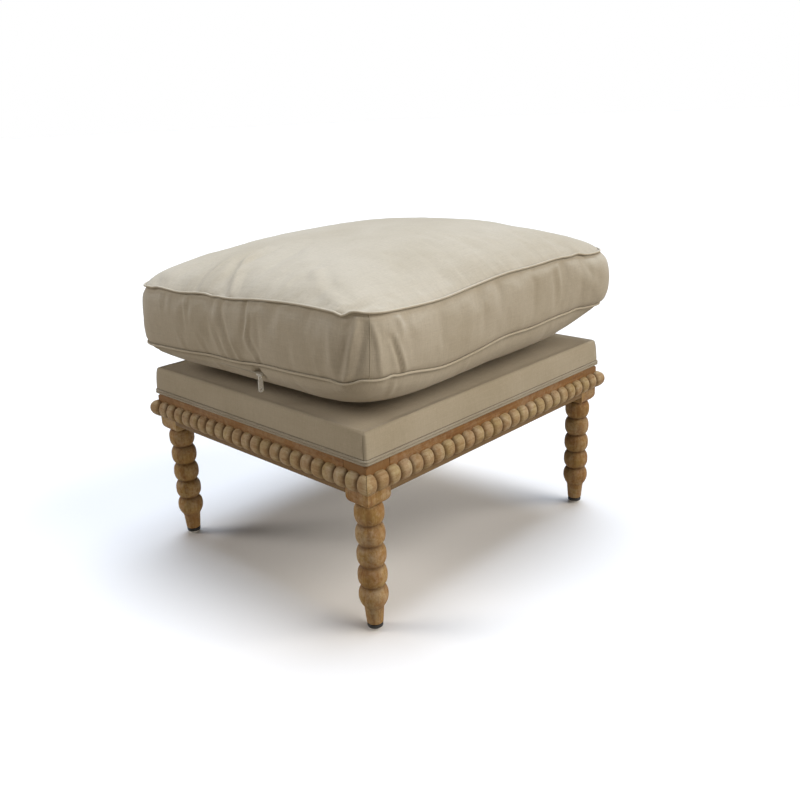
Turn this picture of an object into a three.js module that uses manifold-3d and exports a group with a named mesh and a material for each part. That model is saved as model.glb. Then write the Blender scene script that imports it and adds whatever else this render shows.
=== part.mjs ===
// An upholstered footstool. Four bobbin-turned legs carry an apron with mitred bead mouldings,
// a fixed padded deck with a double welt, and a loose box cushion with piped seams and a zip.
// Millimetres, +Z up, floor at z = 0, origin under the middle. +X runs along the longer rails.

import * as THREE from 'three';
import { mergeVertices } from 'three/addons/utils/BufferGeometryUtils.js';
import Module from 'manifold-3d';

const wasm = await Module();
wasm.setup();

// Driving sizes of the frame
const FRAME_LENGTH = 564; // over the faces of the short rails
const FRAME_WIDTH = 498; // over the faces of the long rails
const RAIL_HEIGHT = 61;
const RAIL_THICKNESS = 22;
const RAIL_EASE = 2.5; // rounded lower edge

// Driving sizes of a leg, from the floor up
const BUTTON_HEIGHT = 4;
const BUTTON_RADIUS = 7.5;
const COLLAR_HEIGHT = 6;
const COLLAR_RADIUS = 11.4;
const NAIL_RADIUS = 1.4;
const NAIL_LENGTH = 18;
const FOOT_HEIGHT = 28.5;
const FOOT_END_RADIUS = 11.8;
const FOOT_TOP_RADIUS = 14;
const BOBBIN_COUNT = 5;
const BOBBIN_PITCH = 31.9;
const BOBBIN_RADIUS = 20.9;
const NOTCH_RADIUS = 15.2;
const KNEE_HEIGHT = 14; // from the top bobbin to the underside of the rails
const KNEE_OVOLO = 11; // rounded part of the knee
const KNEE_END = 26.6; // side of the knee where the turning starts
const HEAD_SIZE = 43.8; // side of the square head

// Driving sizes of the joinery
const TENON_LENGTH = 19;
const TENON_THICKNESS = 9;
const TENON_HEIGHT = 34;
const TENON_SETBACK = 6; // from the rail's face to the tenon's cheek
const BLOCK_LENGTH = 38; // along each rail, past the head
const BLOCK_HEIGHT = 34;
const SCREW_RADIUS = 1.9;
const SCREW_HEAD_RADIUS = 3.8;
const SCREW_HEAD_HEIGHT = 2.6;
const SCREW_BITE = 13; // into the rail
const SCREW_SEAT = 12; // wood under the screw's head
const SCREW_OFFSET = 14; // from the head of the leg
const SCREW_POINT = 4;

// Driving sizes of the bead mouldings
const BEADS_ON_LONG_RAIL = 26;
const BEADS_ON_SHORT_RAIL = 23;
const BEAD_DEPTH = 11.5;
const BEAD_HEIGHT = 28;
const BEAD_VALLEY = 5; // depth of the cut between two beads
const BEAD_RISE = 23.5; // middle of the beads over the rail's lower edge

// Driving sizes of the deck
const BOARD_THICKNESS = 12;
const DECK_RISE = 33.5; // over the top of the rails
const DECK_TAPER = 4.5; // each side, from the rails to the shoulder
const DECK_SHOULDER = 8; // rounding of the top edge
const DECK_CORNER = 9; // rounding of the vertical corners
const DECK_FABRIC = 0.8;
const DECK_HEM = 2.5; // fabric below the middle of the welt
const WELT_DROP = 7; // middle of the double welt under the top of the rails
const WELT_RADIUS = 2;
const WELT_SPREAD = 1.9; // each cord's centre from the middle of the welt
const DUST_COVER = 0.8;
const DUST_COVER_INSET = 6;

// Driving sizes of the loose cushion
const CUSHION_LENGTH = 585; // over the fabric at the seams
const CUSHION_WIDTH = 519;
const CUSHION_CORNER = 50;
const CUSHION_UNDER_DROP = 60; // bulge of the underside below its seam
const CUSHION_UNDER_RUN = 160; // width of that bulge
const CUSHION_BOXING = 91; // seam to seam
const CUSHION_CROWN = 60; // rise of the top over its seam
const CUSHION_BULGE = 3.5; // of the boxing between the seams
const CUSHION_DRAW_IN = 2; // of each side between its corners
const CUSHION_FABRIC = 1.2;
const CROWN_SWEEP_SHARE = 0.88; // of a quarter turn, where the crown goes flat
const CROWN_SHARPNESS = 1.4; // 1 for an ellipse, more for a crown that rises slower at its seam
const ROUNDING_SHARE = 0.3; // of a ring's inset, added to its corner radius
const PIPING_RADIUS = 2.4;

// Driving sizes of the zip
const PLACKET_DROP = 15.5; // ledge that the zip is sewn to, below the lower seam
const PLACKET_INSET = 15; // its wall, in from the seam
const ZIP_INSET = 9.3; // its middle, in from the seam
const TAPE_WIDTH = 7;
const TAPE_THICKNESS = 1;
const TEETH_WIDTH = 2.8;
const TEETH_HEIGHT = 1.3;
const SLIT_WIDTH = 1.2;
const SLIDER_WIDTH = 6.4;
const SLIDER_LENGTH = 10;
const SLIDER_BASE = 1.2;
const CROWN_LENGTH = 8;
const CROWN_WIDTH = 1.6;
const CROWN_BAR = 1;
const CROWN_WINDOW = 2; // free height under the crown's bar
const SLIDER_REST = -43; // place along the short side, closed
const PULLER_WIDTH = 8.6;
const PULLER_LENGTH = 25;
const PULLER_THICKNESS = 1.2;
const PULLER_BAR = 1.3; // above the eye
const PULLER_EYE_WIDTH = 4.4;
const PULLER_EYE_HEIGHT = 5;
const PULLER_HOLE_RADIUS = 1.3;
const PULLER_HOLE_RISE = 5.2; // over the tip

// Clearances
const GAP = 0.3; // between pieces that touch
const HOLE_PLAY = 0.3; // round a nail or a screw
const PLAY = 1; // round a piece that needs room
const OVERRUN = 5; // of a cut past the face that it cuts

// Counts
const TURNING_SIDES = 20;
const GLIDE_SIDES = 12;
const ROD_SIDES = 10;
const BOBBIN_STEPS = 4;
const BEAD_STEPS = 4;
const BEAD_SECTION_STEPS = 5;
const OVOLO_STEPS = 4;
const CORNER_STEPS = 5;
const SIDE_STEPS = 4;
const UNDER_STEPS = 4;
const CROWN_STEPS = 5;
const PIPING_SIDES = 6;
const QUARTER = Math.PI / 2;

// Sizes worked out from those above
const HALF_LENGTH = FRAME_LENGTH / 2;
const HALF_WIDTH = FRAME_WIDTH / 2;
const FOOT_BOTTOM = BUTTON_HEIGHT + COLLAR_HEIGHT;
const TURNING_BOTTOM = FOOT_BOTTOM + FOOT_HEIGHT;
const KNEE_BOTTOM = TURNING_BOTTOM + BOBBIN_COUNT * BOBBIN_PITCH - PLAY;
const RAIL_BOTTOM = KNEE_BOTTOM + KNEE_HEIGHT;
const RAIL_TOP = RAIL_BOTTOM + RAIL_HEIGHT;
const RAIL_MIDDLE = RAIL_BOTTOM + RAIL_HEIGHT / 2;
const BEAD_MIDDLE = RAIL_BOTTOM + BEAD_RISE;
const BOARD_BOTTOM = RAIL_TOP - BOARD_THICKNESS;
const BLOCK_TOP = BOARD_BOTTOM - GAP;
const SCREW_LEVEL = BLOCK_TOP - BLOCK_HEIGHT / 2;
const DECK_TOP = RAIL_TOP + DECK_RISE;
const WELT_MIDDLE = RAIL_TOP - WELT_DROP;
const DECK_OUT = GAP + DECK_FABRIC; // fabric's face, out from the rail's face
const CUSHION_BOTTOM = DECK_TOP + GAP;
const LOWER_SEAM = CUSHION_BOTTOM + CUSHION_UNDER_DROP;
const UPPER_SEAM = LOWER_SEAM + CUSHION_BOXING;
const PLACKET_LEDGE = LOWER_SEAM - PLACKET_DROP;
const TAPE_BOTTOM = PLACKET_LEDGE - GAP - TAPE_THICKNESS;
const TEETH_BOTTOM = TAPE_BOTTOM - TEETH_HEIGHT;
const SLIDER_BOTTOM = TEETH_BOTTOM - GAP - SLIDER_BASE;
const PULLER_PIVOT = SLIDER_BOTTOM - CROWN_WINDOW / 2;
const SLIDER_X = -(CUSHION_LENGTH / 2 - ZIP_INSET);
const ZIP_START = SLIDER_REST - SLIDER_LENGTH;
const PLACKET_START = SLIDER_REST - PULLER_LENGTH - 2 * PLAY;

// Materials
const wood = (color) => new THREE.MeshStandardMaterial({ color, roughness: 0.62, metalness: 0 });
const cloth = (color) => new THREE.MeshStandardMaterial({ color, roughness: 0.95, metalness: 0 });
const metal = (color) => new THREE.MeshStandardMaterial({ color, roughness: 0.3, metalness: 1 });
const limedWood = wood(0xb08f63);
const beadWood = wood(0xbb9b70);
const railWood = wood(0x8a5f36);
const plainWood = wood(0xc8ab80);
const linen = cloth(0xc9c1ae);
const lining = cloth(0x2b2a29);
const foam = cloth(0xe9dfc0);
const zipTape = cloth(0xb9b19c);
const zipMetal = metal(0xb9b7b0);
const steel = metal(0x9a9a98);
const glidePlastic = new THREE.MeshStandardMaterial({ color: 0x15130f, roughness: 0.5, metalness: 0 });

// Closed meshes to solids and back
function bufferGeometry(positions, index) {
  const geometry = new THREE.BufferGeometry();
  geometry.setAttribute('position', new THREE.Float32BufferAttribute(positions, 3));
  geometry.setIndex(index);
  return geometry;
}

function solid(geometry) {
  const bare = geometry.clone();
  bare.deleteAttribute('normal');
  bare.deleteAttribute('uv');
  const merged = mergeVertices(bare);
  const corners = merged.index.array;
  const triangles = [];
  for (let first = 0; first < corners.length; first += 3) {
    const [a, b, c] = corners.slice(first, first + 3);
    if (a !== b && b !== c && c !== a) triangles.push(a, b, c);
  }
  return new wasm.Manifold(new wasm.Mesh({
    numProp: 3,
    vertProperties: merged.attributes.position.array,
    triVerts: Uint32Array.from(triangles),
  }));
}

function geometryOf(body) {
  const mesh = body.getMesh();
  const geometry = bufferGeometry(mesh.vertProperties, Array.from(mesh.triVerts));
  geometry.computeVertexNormals();
  return geometry;
}

function cut(body, ...cutters) {
  return cutters.reduce((left, cutter) => left.subtract(cutter), body);
}

function join(body, ...others) {
  return others.reduce((whole, other) => whole.add(other), body);
}

function box(sizeX, sizeY, sizeZ, x, y, z) {
  return solid(new THREE.BoxGeometry(sizeX, sizeY, sizeZ).translate(x, y, z));
}

// A rod along +Z from z = 0, turned to lie along the given direction
function rod(radius, length, start, direction) {
  const geometry = new THREE.CylinderGeometry(radius, radius, length, ROD_SIDES);
  geometry.translate(0, length / 2, 0);
  const turn = new THREE.Quaternion().setFromUnitVectors(new THREE.Vector3(0, 1, 0), direction);
  geometry.applyQuaternion(turn).translate(start.x, start.y, start.z);
  return solid(geometry);
}

function turned(points, sides = TURNING_SIDES) {
  const profile = points.map(([radius, height]) => new THREE.Vector2(radius, height));
  return solid(new THREE.LatheGeometry(profile, sides).rotateX(QUARTER));
}

// A plan outline, pulled up between two heights
function slab(corners, bottom, thickness) {
  const shape = new THREE.Shape(corners.map(([x, y]) => new THREE.Vector2(x, y)));
  const geometry = new THREE.ExtrudeGeometry(shape, { depth: thickness, bevelEnabled: false });
  return solid(geometry.translate(0, 0, bottom));
}

// A skin over a row of rings with equal counts, closed round or capped at its two ends
function skin(rings, closed = false) {
  const around = rings[0].length;
  const positions = rings.flat(2);
  const index = [];
  const spans = closed ? rings.length : rings.length - 1;
  for (let ring = 0; ring < spans; ring += 1) {
    const next = (ring + 1) % rings.length;
    for (let side = 0; side < around; side += 1) {
      const after = (side + 1) % around;
      const [a, b] = [ring * around + side, ring * around + after];
      const [d, c] = [next * around + side, next * around + after];
      index.push(a, b, c, a, c, d);
    }
  }
  if (!closed) {
    for (const ring of [0, rings.length - 1]) {
      const centre = positions.length / 3;
      for (const axis of [0, 1, 2]) {
        positions.push(rings[ring].reduce((sum, point) => sum + point[axis], 0) / around);
      }
      for (let side = 0; side < around; side += 1) {
        const [a, b] = [ring * around + side, ring * around + ((side + 1) % around)];
        index.push(...(ring === 0 ? [b, a, centre] : [a, b, centre]));
      }
    }
  }
  const body = solid(bufferGeometry(positions, index));
  return body.volume() > 0 ? body : solid(bufferGeometry(positions, index.reverse()));
}

// Stations round a rounded rectangle, anticlockwise from +X, each with its outward direction
function outline(halfX, halfY, radius, { sideSteps = 1, drawIn = 0 } = {}) {
  const stations = [];
  const corners = [[1, 1], [-1, 1], [-1, -1], [1, -1]];
  corners.forEach(([signX, signY], quarter) => {
    for (let step = 0; step <= CORNER_STEPS; step += 1) {
      const angle = (quarter + step / CORNER_STEPS) * QUARTER;
      const out = [Math.cos(angle), Math.sin(angle)];
      const x = signX * (halfX - radius) + radius * out[0];
      const y = signY * (halfY - radius) + radius * out[1];
      stations.push({ point: [x, y], out });
    }
    const turn = (quarter + 1) * QUARTER;
    const out = [Math.round(Math.cos(turn)), Math.round(Math.sin(turn))];
    const alongX = out[0] === 0;
    const reach = alongX ? halfX - radius : halfY - radius;
    for (let step = 1; step < sideSteps; step += 1) {
      const along = 1 - 2 * (step / sideSteps);
      const pull = drawIn * (1 - along * along);
      const x = alongX ? signX * along * reach : out[0] * (halfX - pull);
      const y = alongX ? out[1] * (halfY - pull) : signY * along * reach;
      stations.push({ point: [x, y], out });
    }
  });
  return stations;
}

function ring(stations, z) {
  return stations.map(({ point }) => [point[0], point[1], z]);
}

// A section of [outward, up] points carried along stations at one height
function sweep(stations, section, z, closed) {
  const rings = stations.map(({ point, out }) => section.map(([outward, up]) => [
    point[0] + outward * out[0],
    point[1] + outward * out[1],
    z + up,
  ]));
  return skin(rings, closed);
}

function circle(radius, sides) {
  const angles = Array.from({ length: sides }, (_, side) => (side * 2 * Math.PI) / sides);
  return angles.map((angle) => [radius * Math.cos(angle), radius * Math.sin(angle)]);
}

function rectangle(left, right, bottom, top) {
  return [[left, bottom], [right, bottom], [right, top], [left, top]];
}

// The leg, on its own axis. The rails enter its head on +X and +Y.
function bobbinProfile() {
  const points = [];
  const swell = BOBBIN_RADIUS - NOTCH_RADIUS;
  const arc = ((BOBBIN_PITCH / 2) ** 2 + swell ** 2) / (2 * swell);
  const reach = Math.asin(BOBBIN_PITCH / 2 / arc);
  for (let bobbin = 0; bobbin < BOBBIN_COUNT; bobbin += 1) {
    const middle = TURNING_BOTTOM + (bobbin + 0.5) * BOBBIN_PITCH;
    for (let step = bobbin === 0 ? 0 : 1; step <= BOBBIN_STEPS; step += 1) {
      const angle = reach * ((2 * step) / BOBBIN_STEPS - 1);
      points.push([BOBBIN_RADIUS - arc * (1 - Math.cos(angle)), middle + arc * Math.sin(angle)]);
    }
  }
  return points;
}

function mortise() {
  const half = HEAD_SIZE / 2;
  const depth = TENON_LENGTH + GAP;
  return box(
    depth + OVERRUN,
    TENON_THICKNESS + 2 * GAP,
    TENON_HEIGHT + 2 * GAP,
    half - depth + (depth + OVERRUN) / 2,
    -half + TENON_SETBACK + TENON_THICKNESS / 2,
    RAIL_MIDDLE,
  );
}

// What is rounded off the head's outer arris, where the deck's fabric is pulled round it
function headEase() {
  const bottom = WELT_MIDDLE - WELT_SPREAD - WELT_RADIUS - PLAY;
  const height = RAIL_TOP - bottom + OVERRUN;
  const centre = DECK_CORNER / 2 - HEAD_SIZE / 2;
  const arris = box(DECK_CORNER, DECK_CORNER, height, centre, centre, bottom + height / 2);
  const middle = DECK_CORNER - HEAD_SIZE / 2;
  const start = new THREE.Vector3(middle, middle, bottom - OVERRUN);
  return cut(arris, rod(DECK_CORNER, height + 2 * OVERRUN, start, new THREE.Vector3(0, 0, 1)));
}

function square(half, z) {
  return [[half, half, z], [-half, half, z], [-half, -half, z], [half, -half, z]];
}

function legGeometry() {
  const half = HEAD_SIZE / 2;
  const knee = [];
  for (let step = 0; step <= OVOLO_STEPS; step += 1) {
    const angle = (QUARTER * step) / OVOLO_STEPS;
    const side = KNEE_END / 2 + (half - KNEE_END / 2) * Math.sin(angle);
    const level = KNEE_BOTTOM + KNEE_OVOLO * (1 - Math.cos(angle));
    knee.push(square(side, level));
  }
  const top = square(half, RAIL_TOP);
  const turning = turned([
    [0, FOOT_BOTTOM],
    [FOOT_END_RADIUS, FOOT_BOTTOM],
    [FOOT_TOP_RADIUS, TURNING_BOTTOM - BOBBIN_PITCH / BOBBIN_STEPS / 2],
    ...bobbinProfile(),
    [0, TURNING_BOTTOM + BOBBIN_COUNT * BOBBIN_PITCH],
  ]);
  const nailHole = rod(
    NAIL_RADIUS + HOLE_PLAY,
    NAIL_LENGTH + PLAY + OVERRUN,
    new THREE.Vector3(0, 0, FOOT_BOTTOM - OVERRUN),
    new THREE.Vector3(0, 0, 1),
  );
  const across = mortise();
  const along = across.mirror([1, -1, 0]);
  return geometryOf(cut(join(turning, skin([...knee, top])), nailHole, across, along, headEase()));
}

function glideCollarGeometry() {
  const hole = NAIL_RADIUS + HOLE_PLAY;
  return geometryOf(turned([
    [hole, BUTTON_HEIGHT + GAP],
    [COLLAR_RADIUS - PLAY, BUTTON_HEIGHT + GAP],
    [COLLAR_RADIUS, BUTTON_HEIGHT + GAP + PLAY],
    [COLLAR_RADIUS, FOOT_BOTTOM - GAP],
    [hole, FOOT_BOTTOM - GAP],
    [hole, BUTTON_HEIGHT + GAP],
  ], GLIDE_SIDES));
}

function glideButtonGeometry() {
  return geometryOf(turned([
    [0, 0],
    [BUTTON_RADIUS - PLAY, 0],
    [BUTTON_RADIUS, PLAY],
    [BUTTON_RADIUS, BUTTON_HEIGHT],
    [NAIL_RADIUS, BUTTON_HEIGHT],
    [NAIL_RADIUS, FOOT_BOTTOM + NAIL_LENGTH - 2 * NAIL_RADIUS],
    [0, FOOT_BOTTOM + NAIL_LENGTH],
  ], GLIDE_SIDES));
}

// A rail, with its face on y = 0, its back on +Y and its length along X
function railGeometry(frameLength) {
  const length = frameLength - 2 * (HEAD_SIZE + GAP);
  const profile = new THREE.Shape();
  profile.moveTo(0, RAIL_EASE);
  profile.absarc(RAIL_EASE, RAIL_EASE, RAIL_EASE, Math.PI, 1.5 * Math.PI, false);
  profile.lineTo(RAIL_THICKNESS, 0);
  profile.lineTo(RAIL_THICKNESS, RAIL_HEIGHT);
  profile.lineTo(0, RAIL_HEIGHT);
  const extent = { depth: length, bevelEnabled: false, curveSegments: OVOLO_STEPS };
  const bar = new THREE.ExtrudeGeometry(profile, extent);
  bar.rotateX(QUARTER).rotateZ(QUARTER).translate(-length / 2, 0, RAIL_BOTTOM);
  const tenonReach = length + 2 * (TENON_LENGTH + GAP);
  const tenons = box(
    tenonReach,
    TENON_THICKNESS,
    TENON_HEIGHT,
    0,
    TENON_SETBACK + TENON_THICKNESS / 2,
    RAIL_MIDDLE,
  );
  const screwPlace = frameLength / 2 - HEAD_SIZE - GAP - SCREW_OFFSET;
  const pilots = [-1, 1].map((end) => rod(
    SCREW_RADIUS + HOLE_PLAY,
    SCREW_BITE + PLAY + OVERRUN,
    new THREE.Vector3(end * screwPlace, RAIL_THICKNESS - SCREW_BITE - PLAY, SCREW_LEVEL),
    new THREE.Vector3(0, 1, 0),
  ));
  return geometryOf(cut(join(solid(bar), tenons), ...pilots));
}

// A row of half-round beads against the plane y = 0, with its crests on -Y, mitred at both ends
function beadSection(depth, halfHeight) {
  const points = [];
  for (let step = 0; step <= BEAD_SECTION_STEPS; step += 1) {
    const angle = Math.PI * (step / BEAD_SECTION_STEPS - 0.5);
    points.push([depth * Math.cos(angle), halfHeight * Math.sin(angle)]);
  }
  return points;
}

function beadRowGeometry(frameLength, count) {
  const crestLength = frameLength + 2 * BEAD_DEPTH;
  const pitch = crestLength / count;
  const arc = ((pitch / 2) ** 2 + BEAD_VALLEY ** 2) / (2 * BEAD_VALLEY);
  const reach = Math.asin(pitch / 2 / arc);
  const rings = [];
  const addRing = (x, drop) => {
    const section = beadSection(BEAD_DEPTH - drop, BEAD_HEIGHT / 2 - drop);
    rings.push(section.map(([outward, up]) => [x, -outward, BEAD_MIDDLE + up]));
  };
  addRing(-crestLength / 2 - OVERRUN, 0);
  for (let bead = 0; bead < count; bead += 1) {
    const middle = pitch * (bead + 0.5) - crestLength / 2;
    const first = bead === 0 ? BEAD_STEPS / 2 : 1;
    const last = bead === count - 1 ? BEAD_STEPS / 2 : BEAD_STEPS;
    for (let step = first; step <= last; step += 1) {
      const angle = reach * ((2 * step) / BEAD_STEPS - 1);
      addRing(middle + arc * Math.sin(angle), arc * (1 - Math.cos(angle)));
    }
  }
  addRing(crestLength / 2 + OVERRUN, 0);
  const side = 2 * (BEAD_HEIGHT + BEAD_DEPTH + OVERRUN);
  const mitres = [-1, 1].map((end) => {
    const wedge = new THREE.BoxGeometry(side, side, side).translate(side / 2 - GAP / 2, 0, 0);
    wedge.rotateZ(QUARTER / 2).scale(end, 1, 1);
    wedge.translate(end * (frameLength / 2 + GAP), 0, BEAD_MIDDLE);
    if (end < 0) wedge.setIndex(Array.from(wedge.index.array).reverse());
    return solid(wedge);
  });
  return geometryOf(cut(skin(rings), ...mitres));
}

// The corner pieces, measured inward from the frame's outer corner along +X and +Y
function cornerBlockGeometry() {
  const past = HEAD_SIZE + GAP;
  const rail = RAIL_THICKNESS + GAP;
  const end = past + BLOCK_LENGTH;
  const block = slab(
    [[past, rail], [end, rail], [rail, end], [rail, past], [past, past]],
    BLOCK_TOP - BLOCK_HEIGHT,
    BLOCK_HEIGHT,
  );
  const place = past + SCREW_OFFSET;
  const through = rod(
    SCREW_RADIUS + HOLE_PLAY,
    SCREW_SEAT + 2 * OVERRUN,
    new THREE.Vector3(place, rail - OVERRUN, SCREW_LEVEL),
    new THREE.Vector3(0, 1, 0),
  );
  const counterbore = rod(
    SCREW_HEAD_RADIUS + PLAY,
    BLOCK_LENGTH,
    new THREE.Vector3(place, rail + SCREW_SEAT, SCREW_LEVEL),
    new THREE.Vector3(0, 1, 0),
  );
  const tool = join(through, counterbore);
  return geometryOf(cut(block, tool, tool.mirror([1, -1, 0])));
}

// A screw along -Z, with the underside of its head on z = 0
function screwGeometry() {
  const length = SCREW_SEAT + 2 * GAP + SCREW_BITE;
  return geometryOf(turned([
    [0, -length],
    [SCREW_RADIUS, SCREW_POINT - length],
    [SCREW_RADIUS, 0],
    [SCREW_HEAD_RADIUS, 0],
    [SCREW_HEAD_RADIUS / 2, SCREW_HEAD_HEIGHT],
    [0, SCREW_HEAD_HEIGHT],
  ], ROD_SIDES));
}

// A panel with its four corners cut out
function notchedPanel(halfX, halfY, notch, bottom, thickness) {
  const corners = [[1, 1], [-1, 1], [-1, -1], [1, -1]].flatMap(([signX, signY]) => {
    const points = [
      [signX * halfX, signY * (halfY - notch)],
      [signX * (halfX - notch), signY * (halfY - notch)],
      [signX * (halfX - notch), signY * halfY],
    ];
    return signX * signY > 0 ? points : points.reverse();
  });
  return slab(corners, bottom, thickness);
}

function seatBoardGeometry() {
  const inset = RAIL_THICKNESS + GAP;
  const notch = HEAD_SIZE + PLAY - inset;
  const [halfX, halfY] = [HALF_LENGTH - inset, HALF_WIDTH - inset];
  return geometryOf(notchedPanel(halfX, halfY, notch, BOARD_BOTTOM, BOARD_THICKNESS));
}

function dustCoverGeometry() {
  const notch = HEAD_SIZE + PLAY - DUST_COVER_INSET;
  const [halfX, halfY] = [HALF_LENGTH - DUST_COVER_INSET, HALF_WIDTH - DUST_COVER_INSET];
  return geometryOf(notchedPanel(halfX, halfY, notch, RAIL_BOTTOM - GAP - DUST_COVER, DUST_COVER));
}

// The deck's outer form, drawn in by an offset, down to a given level
function deckForm(bottom, offset) {
  const level = (z, inset) => {
    const halfX = HALF_LENGTH + DECK_OUT - inset - offset;
    const halfY = HALF_WIDTH + DECK_OUT - inset - offset;
    return ring(outline(halfX, halfY, DECK_CORNER - offset + inset / 2), z);
  };
  const rings = [level(bottom, 0)];
  if (bottom < RAIL_TOP) rings.push(level(RAIL_TOP, 0));
  for (let step = 0; step <= OVOLO_STEPS; step += 1) {
    const angle = (QUARTER * step) / OVOLO_STEPS;
    const inset = DECK_TAPER + (DECK_SHOULDER - offset) * (1 - Math.cos(angle));
    rings.push(level(DECK_TOP - DECK_SHOULDER + (DECK_SHOULDER - offset) * Math.sin(angle), inset));
  }
  return skin(rings);
}

function deckCoverGeometry() {
  const hem = WELT_MIDDLE - DECK_HEM;
  return geometryOf(cut(deckForm(hem, 0), deckForm(hem - OVERRUN, DECK_FABRIC)));
}

function deckFoamGeometry() {
  return geometryOf(deckForm(RAIL_TOP + GAP, DECK_FABRIC + GAP));
}

// Two cords side by side, one over the other, as one section
function doubleWeltGeometry() {
  const section = [];
  for (const [centre, start] of [[WELT_SPREAD, -Math.PI / 6], [-WELT_SPREAD, (5 * Math.PI) / 6]]) {
    for (let step = 0; step <= CORNER_STEPS; step += 1) {
      const angle = start + (step / CORNER_STEPS) * ((4 * Math.PI) / 3);
      section.push([WELT_RADIUS * Math.cos(angle), centre + WELT_RADIUS * Math.sin(angle)]);
    }
  }
  const out = DECK_OUT + GAP + WELT_RADIUS;
  const path = outline(HALF_LENGTH + out, HALF_WIDTH + out, DECK_CORNER + GAP + WELT_RADIUS);
  return geometryOf(sweep(path, section, WELT_MIDDLE, true));
}

// The cushion's form, drawn in by an offset: a bulging underside, boxing and a crown
function cushionOutline(inset, rounding = 0) {
  const [halfX, halfY] = [CUSHION_LENGTH / 2 - inset, CUSHION_WIDTH / 2 - inset];
  const radius = Math.min(CUSHION_CORNER + rounding, halfY - PLAY);
  return outline(halfX, halfY, radius, { sideSteps: SIDE_STEPS, drawIn: CUSHION_DRAW_IN });
}

function cushionForm(offset) {
  const crownRun = CUSHION_WIDTH / 2;
  const crownSweep = QUARTER * CROWN_SWEEP_SHARE;
  const rings = [];
  for (let step = 0; step <= UNDER_STEPS; step += 1) {
    const angle = QUARTER * (1 - step / UNDER_STEPS);
    const inset = CUSHION_UNDER_RUN * (1 - Math.cos(angle));
    const z = LOWER_SEAM - (CUSHION_UNDER_DROP - offset) * Math.sin(angle);
    rings.push(ring(cushionOutline(offset + inset, inset * ROUNDING_SHARE), z));
  }
  rings.push(ring(cushionOutline(offset - CUSHION_BULGE), (LOWER_SEAM + UPPER_SEAM) / 2));
  for (let step = 0; step <= CROWN_STEPS; step += 1) {
    const angle = crownSweep * (step / CROWN_STEPS);
    const inset = crownRun * (1 - Math.cos(angle));
    const z = UPPER_SEAM + (CUSHION_CROWN - offset) * Math.sin(angle) ** CROWN_SHARPNESS;
    rings.push(ring(cushionOutline(offset + inset, inset * ROUNDING_SHARE), z));
  }
  return skin(rings);
}

// The zip's route: from the left side, round the two back corners, to the right side
function zipRoute(inset, start) {
  const [halfX, halfY] = [CUSHION_LENGTH / 2 - inset, CUSHION_WIDTH / 2 - inset];
  const path = outline(halfX, halfY, CUSHION_CORNER - inset);
  const back = path.slice(0, 2 * (CORNER_STEPS + 1));
  const right = { point: [halfX, start], out: [1, 0] };
  const left = { point: [-halfX, start], out: [-1, 0] };
  return [right, ...back, left];
}

function placket(grow) {
  const reach = PLACKET_INSET + OVERRUN;
  const section = rectangle(-grow, reach, -CUSHION_UNDER_DROP / 2, grow);
  return sweep(zipRoute(PLACKET_INSET, PLACKET_START - grow), section, PLACKET_LEDGE, false);
}

function cushionCoverGeometry() {
  const hollow = cut(cushionForm(CUSHION_FABRIC), placket(CUSHION_FABRIC));
  const slit = rectangle(-SLIT_WIDTH / 2, SLIT_WIDTH / 2, -OVERRUN, OVERRUN);
  const mouth = sweep(zipRoute(ZIP_INSET, ZIP_START), slit, PLACKET_LEDGE, false);
  return geometryOf(cut(cushionForm(0), placket(0), hollow, mouth));
}

function cushionInsertGeometry() {
  const offset = CUSHION_FABRIC + GAP;
  return geometryOf(cut(cushionForm(offset), placket(offset)));
}

function pipingGeometry(seam) {
  const path = cushionOutline(-GAP - PIPING_RADIUS);
  return geometryOf(sweep(path, circle(PIPING_RADIUS, PIPING_SIDES), seam, true));
}

function zipChainGeometry() {
  const [tape, teeth] = [TAPE_WIDTH / 2, TEETH_WIDTH / 2];
  const section = [
    [-tape, 0], [-teeth, 0], [-teeth, -TEETH_HEIGHT], [teeth, -TEETH_HEIGHT], [teeth, 0], [tape, 0],
    [tape, TAPE_THICKNESS], [-tape, TAPE_THICKNESS],
  ];
  return geometryOf(sweep(zipRoute(ZIP_INSET, ZIP_START), section, TAPE_BOTTOM, false));
}

// The slider, along Y, with the underside of its base on z = 0
function zipSliderGeometry() {
  const channel = SLIDER_BASE + GAP + TEETH_HEIGHT;
  const body = box(SLIDER_WIDTH, SLIDER_LENGTH, channel - GAP, 0, 0, (channel - GAP) / 2);
  const run = TEETH_WIDTH + 2 * GAP;
  const groove = box(run, SLIDER_LENGTH + OVERRUN, channel, 0, 0, SLIDER_BASE + channel / 2);
  const crownHeight = CROWN_WINDOW + CROWN_BAR;
  const crown = box(CROWN_WIDTH, CROWN_LENGTH, crownHeight + GAP, 0, 0, (GAP - crownHeight) / 2);
  const opening = CROWN_LENGTH - 2 * CROWN_BAR;
  const window = box(CROWN_WIDTH + OVERRUN, opening, CROWN_WINDOW, 0, 0, -CROWN_WINDOW / 2);
  return geometryOf(join(cut(body, groove), cut(crown, window)));
}

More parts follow.
